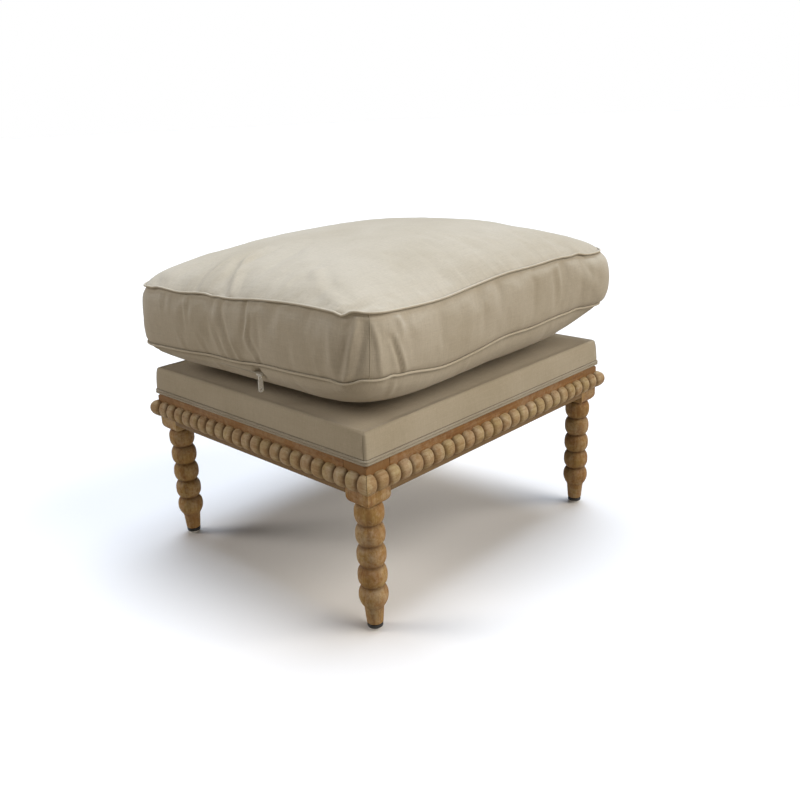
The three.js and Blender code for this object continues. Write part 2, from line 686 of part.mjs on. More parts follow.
// The puller, hanging from its bar, whose middle is the origin
function zipPullerGeometry() {
  const [half, top] = [PULLER_WIDTH / 2, PULLER_BAR / 2];
  const tip = top - PULLER_LENGTH;
  const shoulder = PULLER_EYE_WIDTH / 2 + PULLER_BAR;
  const neck = top - PULLER_BAR - PULLER_EYE_HEIGHT;
  const plate = new THREE.Shape();
  plate.moveTo(-shoulder, top);
  plate.lineTo(-shoulder, neck);
  plate.lineTo(-half, neck - PULLER_BAR);
  plate.lineTo(-half, tip + PULLER_BAR);
  plate.lineTo(PULLER_BAR - half, tip);
  plate.lineTo(half - PULLER_BAR, tip);
  plate.lineTo(half, tip + PULLER_BAR);
  plate.lineTo(half, neck - PULLER_BAR);
  plate.lineTo(shoulder, neck);
  plate.lineTo(shoulder, top);
  const sheet = new THREE.ExtrudeGeometry(plate, { depth: PULLER_THICKNESS, bevelEnabled: false });
  sheet.translate(0, 0, -PULLER_THICKNESS / 2).rotateX(QUARTER);
  const eye = box(
    PULLER_EYE_WIDTH,
    PULLER_THICKNESS + OVERRUN,
    PULLER_EYE_HEIGHT,
    0,
    0,
    top - PULLER_BAR - PULLER_EYE_HEIGHT / 2,
  );
  const hole = rod(
    PULLER_HOLE_RADIUS,
    2 * OVERRUN,
    new THREE.Vector3(0, -OVERRUN, tip + PULLER_HOLE_RISE),
    new THREE.Vector3(0, 1, 0),
  );
  return geometryOf(cut(solid(sheet), eye, hole));
}

// The scene
const footstool = new THREE.Group();

function add(name, geometry, material, parent = footstool) {
  const mesh = new THREE.Mesh(geometry, material);
  mesh.name = name;
  parent.add(mesh);
  return mesh;
}

const corners = [
  { name: 'front_left', x: -1, y: -1 },
  { name: 'front_right', x: 1, y: -1 },
  { name: 'back_right', x: 1, y: 1 },
  { name: 'back_left', x: -1, y: 1 },
];
const leg = legGeometry();
const collar = glideCollarGeometry();
const button = glideButtonGeometry();
const block = cornerBlockGeometry();
const screw = screwGeometry();
corners.forEach(({ name, x, y }, turn) => {
  const corner = new THREE.Group();
  corner.position.set(x * HALF_LENGTH, y * HALF_WIDTH, 0);
  corner.rotation.z = turn * QUARTER;
  footstool.add(corner);
  const axis = HEAD_SIZE / 2;
  add(`leg_${name}`, leg, limedWood, corner).position.set(axis, axis, 0);
  add(`glide_collar_${name}`, collar, glidePlastic, corner).position.set(axis, axis, 0);
  add(`glide_button_${name}`, button, steel, corner).position.set(axis, axis, 0);
  add(`corner_block_${name}`, block, plainWood, corner);
  const place = HEAD_SIZE + GAP + SCREW_OFFSET;
  const seat = RAIL_THICKNESS + 2 * GAP + SCREW_SEAT;
  const first = add(`block_screw_a_${name}`, screw, steel, corner);
  first.position.set(place, seat, SCREW_LEVEL);
  first.rotation.x = -QUARTER;
  const second = add(`block_screw_b_${name}`, screw, steel, corner);
  second.position.set(seat, place, SCREW_LEVEL);
  second.rotation.y = QUARTER;
});

const longRail = railGeometry(FRAME_LENGTH);
const shortRail = railGeometry(FRAME_WIDTH);
const longBeads = beadRowGeometry(FRAME_LENGTH, BEADS_ON_LONG_RAIL);
const shortBeads = beadRowGeometry(FRAME_WIDTH, BEADS_ON_SHORT_RAIL);
['front', 'right', 'back', 'left'].forEach((name, turn) => {
  const isLong = turn % 2 === 0;
  const face = isLong ? HALF_WIDTH : HALF_LENGTH;
  const side = new THREE.Group();
  side.rotation.z = turn * QUARTER;
  footstool.add(side);
  add(`rail_${name}`, isLong ? longRail : shortRail, railWood, side).position.y = -face;
  add(`bead_moulding_${name}`, isLong ? longBeads : shortBeads, beadWood, side).position.y = -face - GAP;
});

add('seat_board', seatBoardGeometry(), plainWood);
add('dust_cover', dustCoverGeometry(), lining);
add('deck_foam', deckFoamGeometry(), foam);
add('deck_cover', deckCoverGeometry(), linen);
add('double_welt', doubleWeltGeometry(), linen);

const cushion = new THREE.Group();
footstool.add(cushion);
add('cushion_cover', cushionCoverGeometry(), linen, cushion);
add('cushion_insert', cushionInsertGeometry(), foam, cushion);
add('piping_lower', pipingGeometry(LOWER_SEAM), linen, cushion);
add('piping_upper', pipingGeometry(UPPER_SEAM), linen, cushion);
add('zip_chain', zipChainGeometry(), zipTape, cushion);
const slider = add('zip_slider', zipSliderGeometry(), zipMetal, cushion);
slider.position.set(SLIDER_X, SLIDER_REST, SLIDER_BOTTOM);
const puller = add('zip_puller', zipPullerGeometry(), zipMetal, cushion);
puller.position.set(SLIDER_X, SLIDER_REST, PULLER_PIVOT);

export default footstool;
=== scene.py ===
# An upholstered footstool: bobbin-turned legs, an apron with bead mouldings, a padded deck with a
# double welt, and a loose box cushion with piped seams and a zip. Metres, +Z up, floor at z = 0.

import math

import bmesh
import bpy
import numpy as np
from mathutils import Matrix, Vector, noise
from mathutils.bvhtree import BVHTree
from mathutils.kdtree import KDTree


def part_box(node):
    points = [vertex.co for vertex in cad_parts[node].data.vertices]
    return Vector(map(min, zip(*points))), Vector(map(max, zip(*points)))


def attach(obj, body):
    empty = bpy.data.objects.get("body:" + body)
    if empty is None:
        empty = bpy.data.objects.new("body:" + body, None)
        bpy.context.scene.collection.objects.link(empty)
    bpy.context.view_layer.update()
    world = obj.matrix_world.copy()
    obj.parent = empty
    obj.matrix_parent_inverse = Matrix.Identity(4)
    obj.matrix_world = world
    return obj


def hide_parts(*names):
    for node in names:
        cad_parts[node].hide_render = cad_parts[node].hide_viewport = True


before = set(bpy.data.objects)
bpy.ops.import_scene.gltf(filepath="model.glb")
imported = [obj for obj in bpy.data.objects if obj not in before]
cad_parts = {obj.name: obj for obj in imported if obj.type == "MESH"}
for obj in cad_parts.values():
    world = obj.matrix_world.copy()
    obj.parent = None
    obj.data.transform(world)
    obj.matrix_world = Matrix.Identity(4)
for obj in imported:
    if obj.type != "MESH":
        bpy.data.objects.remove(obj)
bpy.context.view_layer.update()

MM = 0.001
QUARTER = math.pi / 2

# Heights that several pieces share, from CAD nodes. The knee starts a little below the rails.
KNEE_DROP = 14
KNEE_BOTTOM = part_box("rail_front")[0].z - KNEE_DROP * MM
WELT_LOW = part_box("double_welt")[0].z
WELT_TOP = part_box("double_welt")[1].z
SEAM_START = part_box("deck_foam")[0].z

# The camera, as the photograph was taken
CAMERA_PLACE = (-0.9553, -0.9631, 0.6879)
CAMERA_HEADING = 45.857  # degrees from +Y towards +X
CAMERA_PITCH = -19.026
CAMERA_ROLL = -2.374
CAMERA_LENS = 37.42
CAMERA_SENSOR = 36
CAMERA_SHIFT = 0.0035

# Leg, millimetres. Below the welt, the head's outer corner is eased for the deck to cover it.
BOBBIN_COUNT = 5
BOBBIN_RADIUS = 20.9
NOTCH_RADIUS = 15.2
BOBBIN_FULLNESS = 2.7
LAST_FULLNESS = 1.9
FOOT_END_RADIUS = 11.8
FOOT_TOP_RADIUS = 14.0
FOOT_HEIGHT = 28.5
FOOT_NECK = 3
KNEE_OVOLO = 11.0
KNEE_END = 26.6
HEAD_CORNER = 9.0
EASED_BELOW = 3
EASED_OVER = 2
ARRIS = 1.2
LEG_SIDES = 64
GLIDE_SIDES = 40
NAIL = 1.4
BOBBIN_STEPS = 18
OVOLO_STEPS = 8

# Bead mouldings, millimetres, and the number of beads on a long and a short rail
BEADS = (26, 23)
BEAD_VALLEY = 4.4
BEAD_FULLNESS = 3.8
BEAD_STEPS = 12
HAND_PLAY = 0.35
BEAD_SECTION_STEPS = 14

# Deck, millimetres
DECK_SHOULDER = 5.0
DECK_TAPER = 3.0
DECK_CORNER = 4.5
DECK_SAG = 1.2
# How dark the painted shade along the deck's corner seams is
DECK_SEAM_SHADE = 0.7
# Heights from the welt's top, in millimetres, of a band of painted shadow on the deck
DECK_SHADOW_BAND = (-1.5, 1.1)
SEAM_GROOVE = 0.7
DECK_BOW = 0.8
DECK_CELLS = (70, 62)
DECK_CORNER_STEPS = 5
DECK_WALL_STEPS = 8
DECK_ROUND_STEPS = 6
FABRIC = 0.8
WELT_RADIUS = 1.85
WELT_SPREAD = 1.85
WELT_SINK = 1.8

# Cushion, millimetres
CUSHION_CORNER = 50.0
CUSHION_DRAW_IN = 2.0
CUSHION_BULGE = 3.5
CUSHION_CROWN = 60.0
CROWN_SHARPNESS = 0.7
UNDER_RUN = 130.0
SLACK = 0.5
SLACK_REACH = 110.0
PIPING_RADII = (1.7, 1.75)
PIPING_OUTS = (1.4, 1.9)
PIPING_LIFTS = (-1.1, 1.5)
BOXING_FULLNESS = 0.42
SEAM_DEPTHS = (2.6, 4.2)
SEAM_REACHES = (3.4, 6.5)
RIM_SHARE = 0.025
CELL = 6.5
CORNER_CELLS = 8
BOXING_CELLS = 15
CAP = 2.8
FILM_ROUNDS = 4000
WRINKLE_SHARES = (0.2, 0.55, 0.9)
WRINKLE_BLEND = 9
CREASE_GAIN = 1.3
CREASE_SPAN = 60
BOXING_HEIGHT = 91
BOXING_DEPTH = 26
BOXING_TILT = 0.85
BLOCK = 4000
# How far from the seams the painted shade on the cover reaches
SEAM_SHADE_REACH = 2.1
CRUMPLE = 0.35
CRUMPLE_SIZES = (28, 61)
RIM_REACH = 5
RESTING = 3
SEAM_SPLIT = 8
CLOTH_FRAMES = 20
CLOTH = {
    "quality": 5, "mass": 0.3, "tension_stiffness": 15, "compression_stiffness": 15,
    "shear_stiffness": 5, "bending_stiffness": 0.2, "use_pressure": True,
    "uniform_pressure_force": 4, "shrink_min": -0.02, "shrink_max": -0.02,
    "vertex_group_mass": "seams",
}
SMOOTHING_ROUNDS = 60

# The boxing's sewn seams at the corners: columns past each corner, how far they lean to the
# next column, and their half width and height in millimetres
SEAM_COLUMNS = (2, 1, 0, 1)
SEAM_LEAN = 0.9
SEAM_WIDTH = 0.8
SEAM_HEIGHT = 0.45
RAY_START = 40
SEAM_SECTION = ((-1, -0.6), (-0.6, 0.6), (0, 1), (0.6, 0.6), (1, -0.6), (0, -1))

# Zip, millimetres. Each lip has its height, its distance from the zip's line and its width.
ZIP_INSET = 9.3
ZIP_BEGIN = -61.0
ZIP_LIPS = ((-0.7, 0, 2.4), (0.7, 5, 2.6))
POCKET_HALF = (5.5, 9)
POCKET_DEPTH = 7.0
PULLER_EYE = 1.9
PULLER_ROUND = 1.1
PULLER_BAR = 1.3
EYE_BOTTOM = 4.6
TIP_HOLE = 1.6
PLATE_EDGE = 0.2
SLIDER_PLATE = 3.4
SLIDER_THICK = 1.0
BAR_HALF = (1.3, 0.6)
BAR_SECTION = ((-1, -0.6), (-0.6, -1), (0.6, -1), (1, -0.6), (1, 0.6), (0.6, 1), (-0.6, 1), (-1, 0.6))

# Colours and strengths that the materials share, the depth of their painted shade, and the heights of
# the mouldings' edges: the rails' stain above, painted shadow below
PAINTED_SHADE_DEPTH = 0.62
LIME = (0.62, 0.5, 0.35)
BROWN = (0.76, 0.6, 0.48)
OLIVE = (0.86, 0.84, 0.62)
BLOTCH = 0.55
WHITE = (1, 1, 1)
DARK = (0, 0, 0)
MOULDING_LOW, MOULDING_HIGH = 0.2225, 0.2455

# Studio: the sky's glow, and each light's direction, spread in degrees, strength and colour
FROM_BELOW = (0.36, 0.322, 0.27)
FROM_ABOVE = (0.05, 0.05, 0.055)
LIGHTS = {
    "overhead": ((0.2, 0.1, 0.97), 40, 2.45, (0.88, 1.03, 1.26)),
    "window": ((0.4, -0.7, 0.6), 40, 1.7, (1, 0.97, 0.92)),
    "low": ((-0.1, -0.99, 0.1), 60, 0.6, (1, 0.95, 0.87)),
    "graze": ((-0.56, 0.68, 0.46), 24, 1.1, (1, 0.97, 0.93)),
}
FLOOR_REACH = 60.0

# Round the outline, from the near left corner by the front, the right, the back and the left,
# eight places to a side: the seams' rise over their level height, how far out they lie, and
# how far the boxing swells between them
UPPER_SEAM_RISE = (
    2.8, -1.5, -3.0, 2.4, 7.7, 8.0, 9.7, 3.9,
    2.8, 3.2, 1.2, 2.2, 0.2, -0.8, 0.2, -1.8,
    -2.8, -0.8, 0.2, -1.8, -3.8, -2.8, -5.8, -7.8,
    -13.5, -8.8, -10.3, -5.3, -5.4, 0.4, 4.1, 5.0,
)
LOWER_SEAM_RISE = (
    9.2, 6.0, -3.0, 0.7, 8.1, 7.5, 11.0, 10.7,
    8.2, 6.2, 7.2, 5.2, 4.2, 5.2, 2.2, 1.2,
    0.2, 1.2, -0.8, 0.2, -2.8, -3.8, -5.8, -8.8,
    -11.8, -11.3, -9.6, -5.0, -4.0, 1.3, 2.8, 6.0,
)
UPPER_SEAM_OUT = (
    0, 0, 0, 0, 0, 0, 0, 0, 0, 0, 0, 0, 0, 0, 0, 0,
    0, 0, 0, 0, 0, 0, 0, -0.5, -1, -0.5, 0, 0, 0, 0, 0, 0,
)
LOWER_SEAM_OUT = (
    0, 0, 0, 0, 0, 0, 0, 1, 3, 1, 0, 0, 0, 0, 1, 2,
    3, 1, 0, 0, 0, 0, 0, 2, 6, 2, 0, 0, 0, 0, 0, 0,
)
BOXING_SWELL = (
    5, 7, 8, 8, 8, 8, 8, 13, 18, 12, 7, 6, 6, 6, 6, 7,
    10, 7, 6, 6, 6, 6, 6, 6, 7, 5, 6, 7, 7, 7, 7, 6,
)
# Kinks of the seams: the place in sides from the near left corner, the width and the rise
UPPER_KINKS = (
    (3.961, 0.014, -3.8), (3.993, 0.018, 2.4), (0.84, 0.03, 3.5), (3.1, 0.02, -1.5),
    (3.42, 0.016, -1.5),
)
LOWER_KINKS = ((3.956, 0.03, -3.6), (0.0, 0.02, 1.4), (0.075, 0.013, 2.0), (0.84, 0.03, 2.0))

# Creases in the boxing. Each has its depth, its width, and points of (millimetres along from the
# near left corner's middle, + by the front, and its share of the height). Ridges are positive.
BOXING_CREASES = (
    (-3.0, 7, ((-267, 1.0), (-268, 0.8), (-262, 0.55), (-254, 0.3), (-245, 0.0))),
    (2.0, 7, ((-253, 1.0), (-254, 0.8), (-248, 0.5), (-240, 0.25), (-233, 0.0))),
    (1.0, 6, ((-280, 0.8), (-276, 0.5), (-268, 0.25), (-259, 0.0))),
    (2.0, 3.6, ((-203, 1.0), (-201, 0.7), (-209, 0.45), (-206, 0.3), (-196, 0.12), (-196, 0.0))),
    (-1.7, 4.5, ((-212, 1.0), (-210, 0.7), (-217, 0.45))),
    (-1.8, 4, ((-202, 0.5), (-199, 0.33), (-189, 0.15), (-188, 0.0))),
    (-1.0, 5, ((-214, 1.0), (-213, 0.75), (-221, 0.45), (-218, 0.2))),
    (1.0, 5, ((-336, 0.34), (-325, 0.16), (-318, 0.0))),
    (-1.0, 5, ((-328, 0.34), (-317, 0.16), (-310, 0.0))),
    (1.1, 5, ((-292, 0.48), (-284, 0.25), (-274, 0.0))),
    (-1.2, 5, ((-283, 0.45), (-275, 0.25), (-266, 0.0))),
    (0.9, 5, ((-243, 0.4), (-238, 0.2), (-234, 0.0))),
    (0.9, 5, ((-423, 1.0), (-424, 0.62))),
    (-0.8, 5, ((-412, 1.0), (-413, 0.7))),
    (0.9, 5, ((-400, 1.0), (-402, 0.66))),
    (0.9, 5, ((-357, 1.0), (-358, 0.55))),
    (-0.7, 5, ((-349, 1.0), (-350, 0.6))),
    (0.9, 5, ((-341, 1.0), (-342, 0.6))),
    (0.9, 5, ((-388, 0.38), (-381, 0.2), (-377, 0.0))),
    (-0.8, 5, ((-379, 0.34), (-372, 0.15), (-369, 0.0))),
    (-1.2, 9, ((-318, 0.75), (-312, 0.5), (-300, 0.25))),
    (-0.9, 7, ((-160, 1.0), (-158, 0.7), (-163, 0.45))),
    (0.8, 7, ((-132, 1.0), (-131, 0.75))),
    (-1.0, 8, ((-118, 0.0), (-122, 0.3), (-118, 0.5))),
    (-0.9, 6, ((-78, 1.0), (-82, 0.7), (-80, 0.45))),
    (0.9, 6, ((-66, 1.0), (-69, 0.72))),
    (1.0, 6, ((-62, 0.0), (-66, 0.25), (-62, 0.4))),
    (1.6, 3.0, ((-1, 1.0), (-4, 0.8), (-11, 0.5), (-17, 0.2), (-22, 0.0))),
    (-1.2, 4.5, ((-12, 0.85), (-16, 0.6), (-22, 0.3), (-28, 0.0))),
    (1.4, 5, ((-34, 0.8), (-35, 0.5), (-37, 0.2))),
    (-1.8, 5, ((7, 0.9), (4, 0.6), (-2, 0.3), (-8, 0.1))),
    (1.0, 4.5, ((-24, 0.05), (-14, 0.14), (-6, 0.22))),
    (1.7, 3.4, ((14, 0.9), (19, 0.72), (22, 0.5), (23, 0.2), (26, 0.05))),
    (-1.0, 5, ((33, 0.66), (36, 0.4), (38, 0.1))),
    (-2.8, 3.2, ((40, 0.62), (46, 0.42), (54, 0.2), (61, 0.0))),
    (2.2, 3.4, ((47, 0.62), (53, 0.42), (61, 0.2), (68, 0.0))),
    (2.0, 4.5, ((45, 1.0), (54, 0.92), (59, 0.75), (57, 0.58))),
    (-1.2, 6, ((70, 1.0), (70, 0.8), (71, 0.6))),
    (1.3, 2.6, ((-6, 0.955), (8, 0.95), (24, 0.955))),
    (-0.8, 9, ((128, 0.95), (124, 0.6), (120, 0.3))),
    (0.8, 9, ((190, 0.2), (196, 0.5), (194, 0.8))),
    (-0.8, 8, ((262, 1.0), (258, 0.7))),
    (0.8, 8, ((318, 0.0), (322, 0.3))),
    (1.4, 5, ((408, 0.95), (414, 0.78), (418, 0.5), (418, 0.3))),
    (-1.3, 6, ((398, 0.8), (405, 0.55), (406, 0.25))),
    (-1.2, 9, ((470, 0.95), (474, 0.7), (470, 0.5))),
    (1.0, 8, ((500, 1.0), (504, 0.7))),
    (-1.4, 7, ((640, 1.0), (636, 0.7), (642, 0.4))),
    (1.5, 6, ((652, 1.0), (648, 0.7), (654, 0.3))),
    (-1.2, 7, ((760, 0.0), (764, 0.35), (760, 0.6))),
    (1.2, 6, ((900, 1.0), (905, 0.6))),
    (-1.5, 7, ((1045, 1.0), (1041, 0.6), (1046, 0.2))),
    (1.4, 6, ((1056, 1.0), (1052, 0.6), (1058, 0.2))),
    (1.0, 8, ((-560, 1.0), (-556, 0.6))),
    (-1.3, 7, ((-690, 1.0), (-694, 0.5), (-688, 0.0))),
    (1.2, 7, ((-800, 0.0), (-804, 0.4))),
)
# Creases in the top: depth, width and points of (x, y)
TOP_CREASES = (
    (3.2, 6.5, ((-165, 68), (-216, 54), (-259, 23), (-290, -1))),
    (-3.0, 7.5, ((-170, 81), (-222, 65), (-266, 37), (-292, 14))),
    (1.8, 7, ((-209, 94), (-259, 86), (-292, 74))),
    (-1.8, 7, ((-215, 110), (-262, 100), (-290, 90))),
    (1.3, 7, ((-253, 128), (-290, 112))),
    (-1.2, 7, ((-250, 10), (-290, -18))),
    (1.2, 7, ((-232, -14), (-268, -32), (-292, -38))),
    (1.4, 8, ((-225, -110), (-262, -160), (-280, -212), (-284, -232))),
    (-1.3, 8, ((-212, -116), (-248, -168), (-266, -222), (-270, -240))),
    (0.9, 9, ((-150, -10), (-205, -70), (-240, -130))),
    (1.0, 8, ((-286, -120), (-240, -112), (-190, -122))),
    (-1.0, 8, ((-286, -92), (-240, -84), (-200, -92))),
    (1.0, 8, ((-180, -258), (-150, -215))),
    (-1.0, 8, ((-120, -258), (-100, -220))),
    (1.0, 9, ((60, -258), (84, -225))),
    (-1.1, 9, ((150, -258), (168, -222))),
    (1.2, 8, ((196, -258), (205, -228))),
    (1.2, 9, ((290, -60), (250, -48))),
    (-1.2, 9, ((290, 60), (240, 52))),
    (1.3, 9, ((290, 170), (246, 150))),
    (1.2, 9, ((120, 258), (112, 220))),
    (-1.2, 9, ((-60, 258), (-50, 215))),
    (1.2, 9, ((-190, 258), (-176, 222))),
)
# Puckers in the underside, near its seam: depth, width and points of (x, y)
UNDER_CREASES = (
    (-1.3, 5, ((-243, -262), (-233, -240))),
    (1.2, 5, ((-234, -262), (-225, -240))),
    (-1.2, 5, ((-226, -262), (-218, -242))),
    (1.0, 7, ((-80, -262), (-84, -236))),
    (-1.0, 7, ((120, -262), (126, -236))),
    (1.1, 7, ((-294, 60), (-268, 52))),
    (-1.1, 7, ((-294, -120), (-268, -128))),
)

CORNERS = {"front_left": 0, "front_right": 1, "back_right": 2, "back_left": 3}
SIDES = {"front": 0, "right": 1, "back": 2, "left": 3}


# Materials


class Nodes:
    """The node tree of a material or a world, with short calls to add and join nodes."""

    def __init__(self, owner):
        owner.use_nodes = True
        self.tree = owner.node_tree
        self.shader = self.tree.nodes.get("Principled BSDF")

    def add(self, kind, settings=None, **inputs):
        node = self.tree.nodes.new(kind)
        for key, value in (settings or {}).items():
            setattr(node, key, value)
        for key, value in inputs.items():
            self.put(node, key.replace("_", " "), value)
        return node

    def put(self, node, key, value):
        socket = node.inputs[int(key) if key.isdigit() else key]
        if isinstance(value, bpy.types.NodeSocket):
            self.tree.links.new(value, socket)
        else:
            socket.default_value = value

    def math(self, operation, first, second=0.0):
        node = self.add("ShaderNodeMath", {"operation": operation})
        self.put(node, "0", first)
        self.put(node, "1", second)
        return node.outputs[0]

    def noise(self, vector, scale, size=1.0, detail=4.0, roughness=0.55):
        mapping = self.add("ShaderNodeMapping", Vector=vector, Scale=scale)
        texture = self.add("ShaderNodeTexNoise", Vector=mapping.outputs[0], Scale=size, Detail=detail,
                           Roughness=roughness)
        return texture.outputs["Fac"]

    def ramp(self, factor, *stops):
        node = self.add("ShaderNodeValToRGB", Fac=factor)
        elements = node.color_ramp.elements
        while len(elements) < len(stops):
            elements.new(0.5)
        for element, (place, colour) in zip(elements, stops):
            element.position = place
            element.color = (*colour, 1)
        return node.outputs[0]

    def mix(self, factor, first, second, blend="MIX"):
        node = self.add("ShaderNodeMix", {"data_type": "RGBA", "blend_type": blend})
        self.put(node, "0", factor)
        for place, colour in ((6, first), (7, second)):
            whole = colour if isinstance(colour, bpy.types.NodeSocket) else (*colour, 1)
            self.put(node, str(place), whole)
        return node.outputs[2]

    def bump(self, height, strength, distance, normal=None):
        node = self.add("ShaderNodeBump", Height=height, Strength=strength, Distance=distance)
        if normal is not None:
            self.put(node, "Normal", normal)
        return node.outputs[0]


def linen(name, light, dark, shadow_band=None):
    """Washed linen: yarns both ways in the cloth's own coordinates, with slubs and mottling.

    It carries painted shade: darker where the piece gives its points painted shade, and in a level band
    of painted shadow between two heights.
    """
    material = bpy.data.materials.new(name)
    n = Nodes(material)
    cloth = n.add("ShaderNodeUVMap", {"uv_map": "UVMap"}).outputs[0]
    place = n.add("ShaderNodeTexCoord").outputs["Object"]
    warp = n.noise(cloth, (1300, 150, 1), detail=2)
    weft = n.noise(cloth, (150, 1300, 1), detail=2)
    slub_warp = n.noise(cloth, (420, 22, 1), detail=3)
    slub_weft = n.noise(cloth, (22, 420, 1), detail=3)
    mottle = n.noise(place, (1, 1, 1), size=8.0, detail=4)
    rumple = n.noise(place, (1, 1, 1), size=26.0, detail=3)
    yarn = n.math("MULTIPLY", n.math("ADD", warp, weft), 0.5)
    slub = n.math("MULTIPLY", n.math("ADD", slub_warp, slub_weft), 0.5)
    both = n.math("ADD", n.math("MULTIPLY", yarn, 0.6), n.math("MULTIPLY", slub, 0.4))
    base = n.ramp(both, (0.36, dark), (0.62, light))
    tint = n.ramp(mottle, (0.32, (0.9, 0.885, 0.85)), (0.62, WHITE))
    plain_cloth = n.mix(1.0, base, tint, "MULTIPLY")
    # Painted shade, as much as the piece gives each point
    shade_share = n.add("ShaderNodeAttribute", {"attribute_name": "painted_shade"}).outputs["Fac"]
    # A level band of painted shadow between two heights
    if shadow_band is not None:
        height = n.add("ShaderNodeSeparateXYZ", Vector=place).outputs["Z"]
        over, under = n.math("GREATER_THAN", height, shadow_band[0]), n.math("LESS_THAN", height, shadow_band[1])
        shade_share = n.math("MAXIMUM", shade_share, n.math("MULTIPLY", over, under))
    # The colour that the painted shade darkens towards
    deep = [value * 0.3 for value in dark]
    n.put(n.shader, "Base Color", n.mix(n.math("MULTIPLY", shade_share, PAINTED_SHADE_DEPTH), plain_cloth, deep))
    n.put(n.shader, "Roughness", 0.92)
    n.put(n.shader, "Sheen Weight", 0.15)
    n.put(n.shader, "Sheen Roughness", 0.5)
    n.put(n.shader, "Specular IOR Level", 0.2)
    fine = n.bump(yarn, 0.5, 0.0005)
    soft = n.bump(slub, 0.3, 0.0008, fine)
    n.put(n.shader, "Normal", n.bump(rumple, 0.35, 0.004, soft))
    return material


def wood(name, pale, mid, deep, axis, grain=1.0, foot=None, band=None, shade_limit=0.85):
    """Limed hardwood with its grain along one axis, and painted shade darkening it where the piece marks
    its recesses.
    """
    material = bpy.data.materials.new(name)
    n = Nodes(material)
    place = n.add("ShaderNodeTexCoord").outputs["Object"]
    across, along = 210.0, 12.0

    def stretched(factor, detail, roughness):
        scale = [across * factor] * 3
        scale[axis] = along * factor
        return n.noise(place, scale, detail=detail, roughness=roughness)

    fibre = stretched(1, 6, 0.65)
    figure = stretched(0.15, 4, 0.6)
    patches = n.noise(place, (1, 1, 1), size=30.0, detail=4)
    rough = n.noise(place, (1, 1, 1), size=150.0, detail=6, roughness=0.7)
    streak = n.math("ADD", n.math("MULTIPLY", fibre, 0.5), n.math("MULTIPLY", figure, 0.3))
    streak = n.math("ADD", streak, n.math("MULTIPLY", rough, 0.2))
    body = n.ramp(streak, (0.36, deep), (0.5, mid), (0.62, pale))
    lime = n.ramp(n.math("MULTIPLY", patches, rough), (0.2, DARK), (0.36, WHITE))
    limed = n.mix(n.math("MULTIPLY", lime, 0.45 * grain), body, LIME)
    pores = n.ramp(stretched(2.4, 3, 0.5), (0.6, DARK), (0.68, WHITE))
    marked = n.mix(n.math("MULTIPLY", pores, 0.4), limed, deep)
    cloud = n.noise(place, (1, 1, 1), size=48.0, detail=3)
    blotch = n.ramp(cloud, (0.4, BROWN), (0.52, WHITE), (0.64, OLIVE))
    marked = n.mix(BLOTCH * grain, marked, blotch, "MULTIPLY")
    height = n.add("ShaderNodeSeparateXYZ", Vector=place).outputs["Z"]
    # Below the moulding the given colour: the rail's plain wood, darkened by painted shadow of the beads
    if foot is not None:
        below = n.math("LESS_THAN", height, MOULDING_LOW)
        marked = n.mix(n.math("MULTIPLY", below, 0.8), marked, foot)
    if band is not None:
        above = n.math("GREATER_THAN", height, MOULDING_HIGH)
        marked = n.mix(n.math("MULTIPLY", above, 0.85), marked, band)
    # Painted shade in the recesses, towards a darker copy of the deepest grain colour
    painted_shade = n.add("ShaderNodeAttribute", {"attribute_name": "painted_shade"}).outputs["Fac"]
    shade_share = n.math("MULTIPLY", painted_shade, n.math("ADD", patches, 0.45))
    shade = [value * 0.55 for value in deep]
    n.put(n.shader, "Base Color", n.mix(n.math("MINIMUM", shade_share, shade_limit), marked, shade))
    n.put(n.shader, "Roughness", n.ramp(rough, (0.3, (0.55,) * 3), (0.7, (0.8,) * 3)))
    n.put(n.shader, "Specular IOR Level", 0.3)
    fine = n.bump(fibre, 0.4 * grain, 0.0006)
    n.put(n.shader, "Normal", n.bump(rough, 0.5 * grain, 0.0012, fine))
    return material


def plain(name, colour, roughness, metallic=0.0):
    """Metal or plastic with fine scratches and an uneven surface."""
    material = bpy.data.materials.new(name)
    n = Nodes(material)
    place = n.add("ShaderNodeTexCoord").outputs["Object"]
    rub = n.noise(place, (1, 1, 1), size=900.0, detail=5)
    dull = [value * 0.72 for value in colour]
    n.put(n.shader, "Base Color", n.ramp(rub, (0.35, dull), (0.62, colour)))
    n.put(n.shader, "Metallic", metallic)
    spread = n.ramp(rub, (0.3, (roughness * 0.8,) * 3), (0.7, (min(1.0, roughness * 1.25),) * 3))
    n.put(n.shader, "Roughness", spread)
    n.put(n.shader, "Normal", n.bump(rub, 0.15, 0.0002))
    return material


LINEN = linen("washed_linen", (0.6, 0.524, 0.405), (0.495, 0.427, 0.325))
# Piping, in the same linen painted lighter: a painted highlight along the cords
PAINTED_HIGHLIGHT_PIPING = linen("piping_painted_highlight", (0.65, 0.57, 0.44), (0.56, 0.487, 0.37))
# The deck, in the same linen painted darker: painted shade on the deck, with a band of painted shadow
# above the welt
SHADED_DECK_CLOTH = linen("deck_cloth_painted_shade", (0.54, 0.46, 0.337), (0.445, 0.374, 0.269),
                   [WELT_TOP + rise * MM for rise in DECK_SHADOW_BAND])
WELT_LINEN = linen("welt_linen", (0.46, 0.395, 0.295), (0.39, 0.33, 0.245))
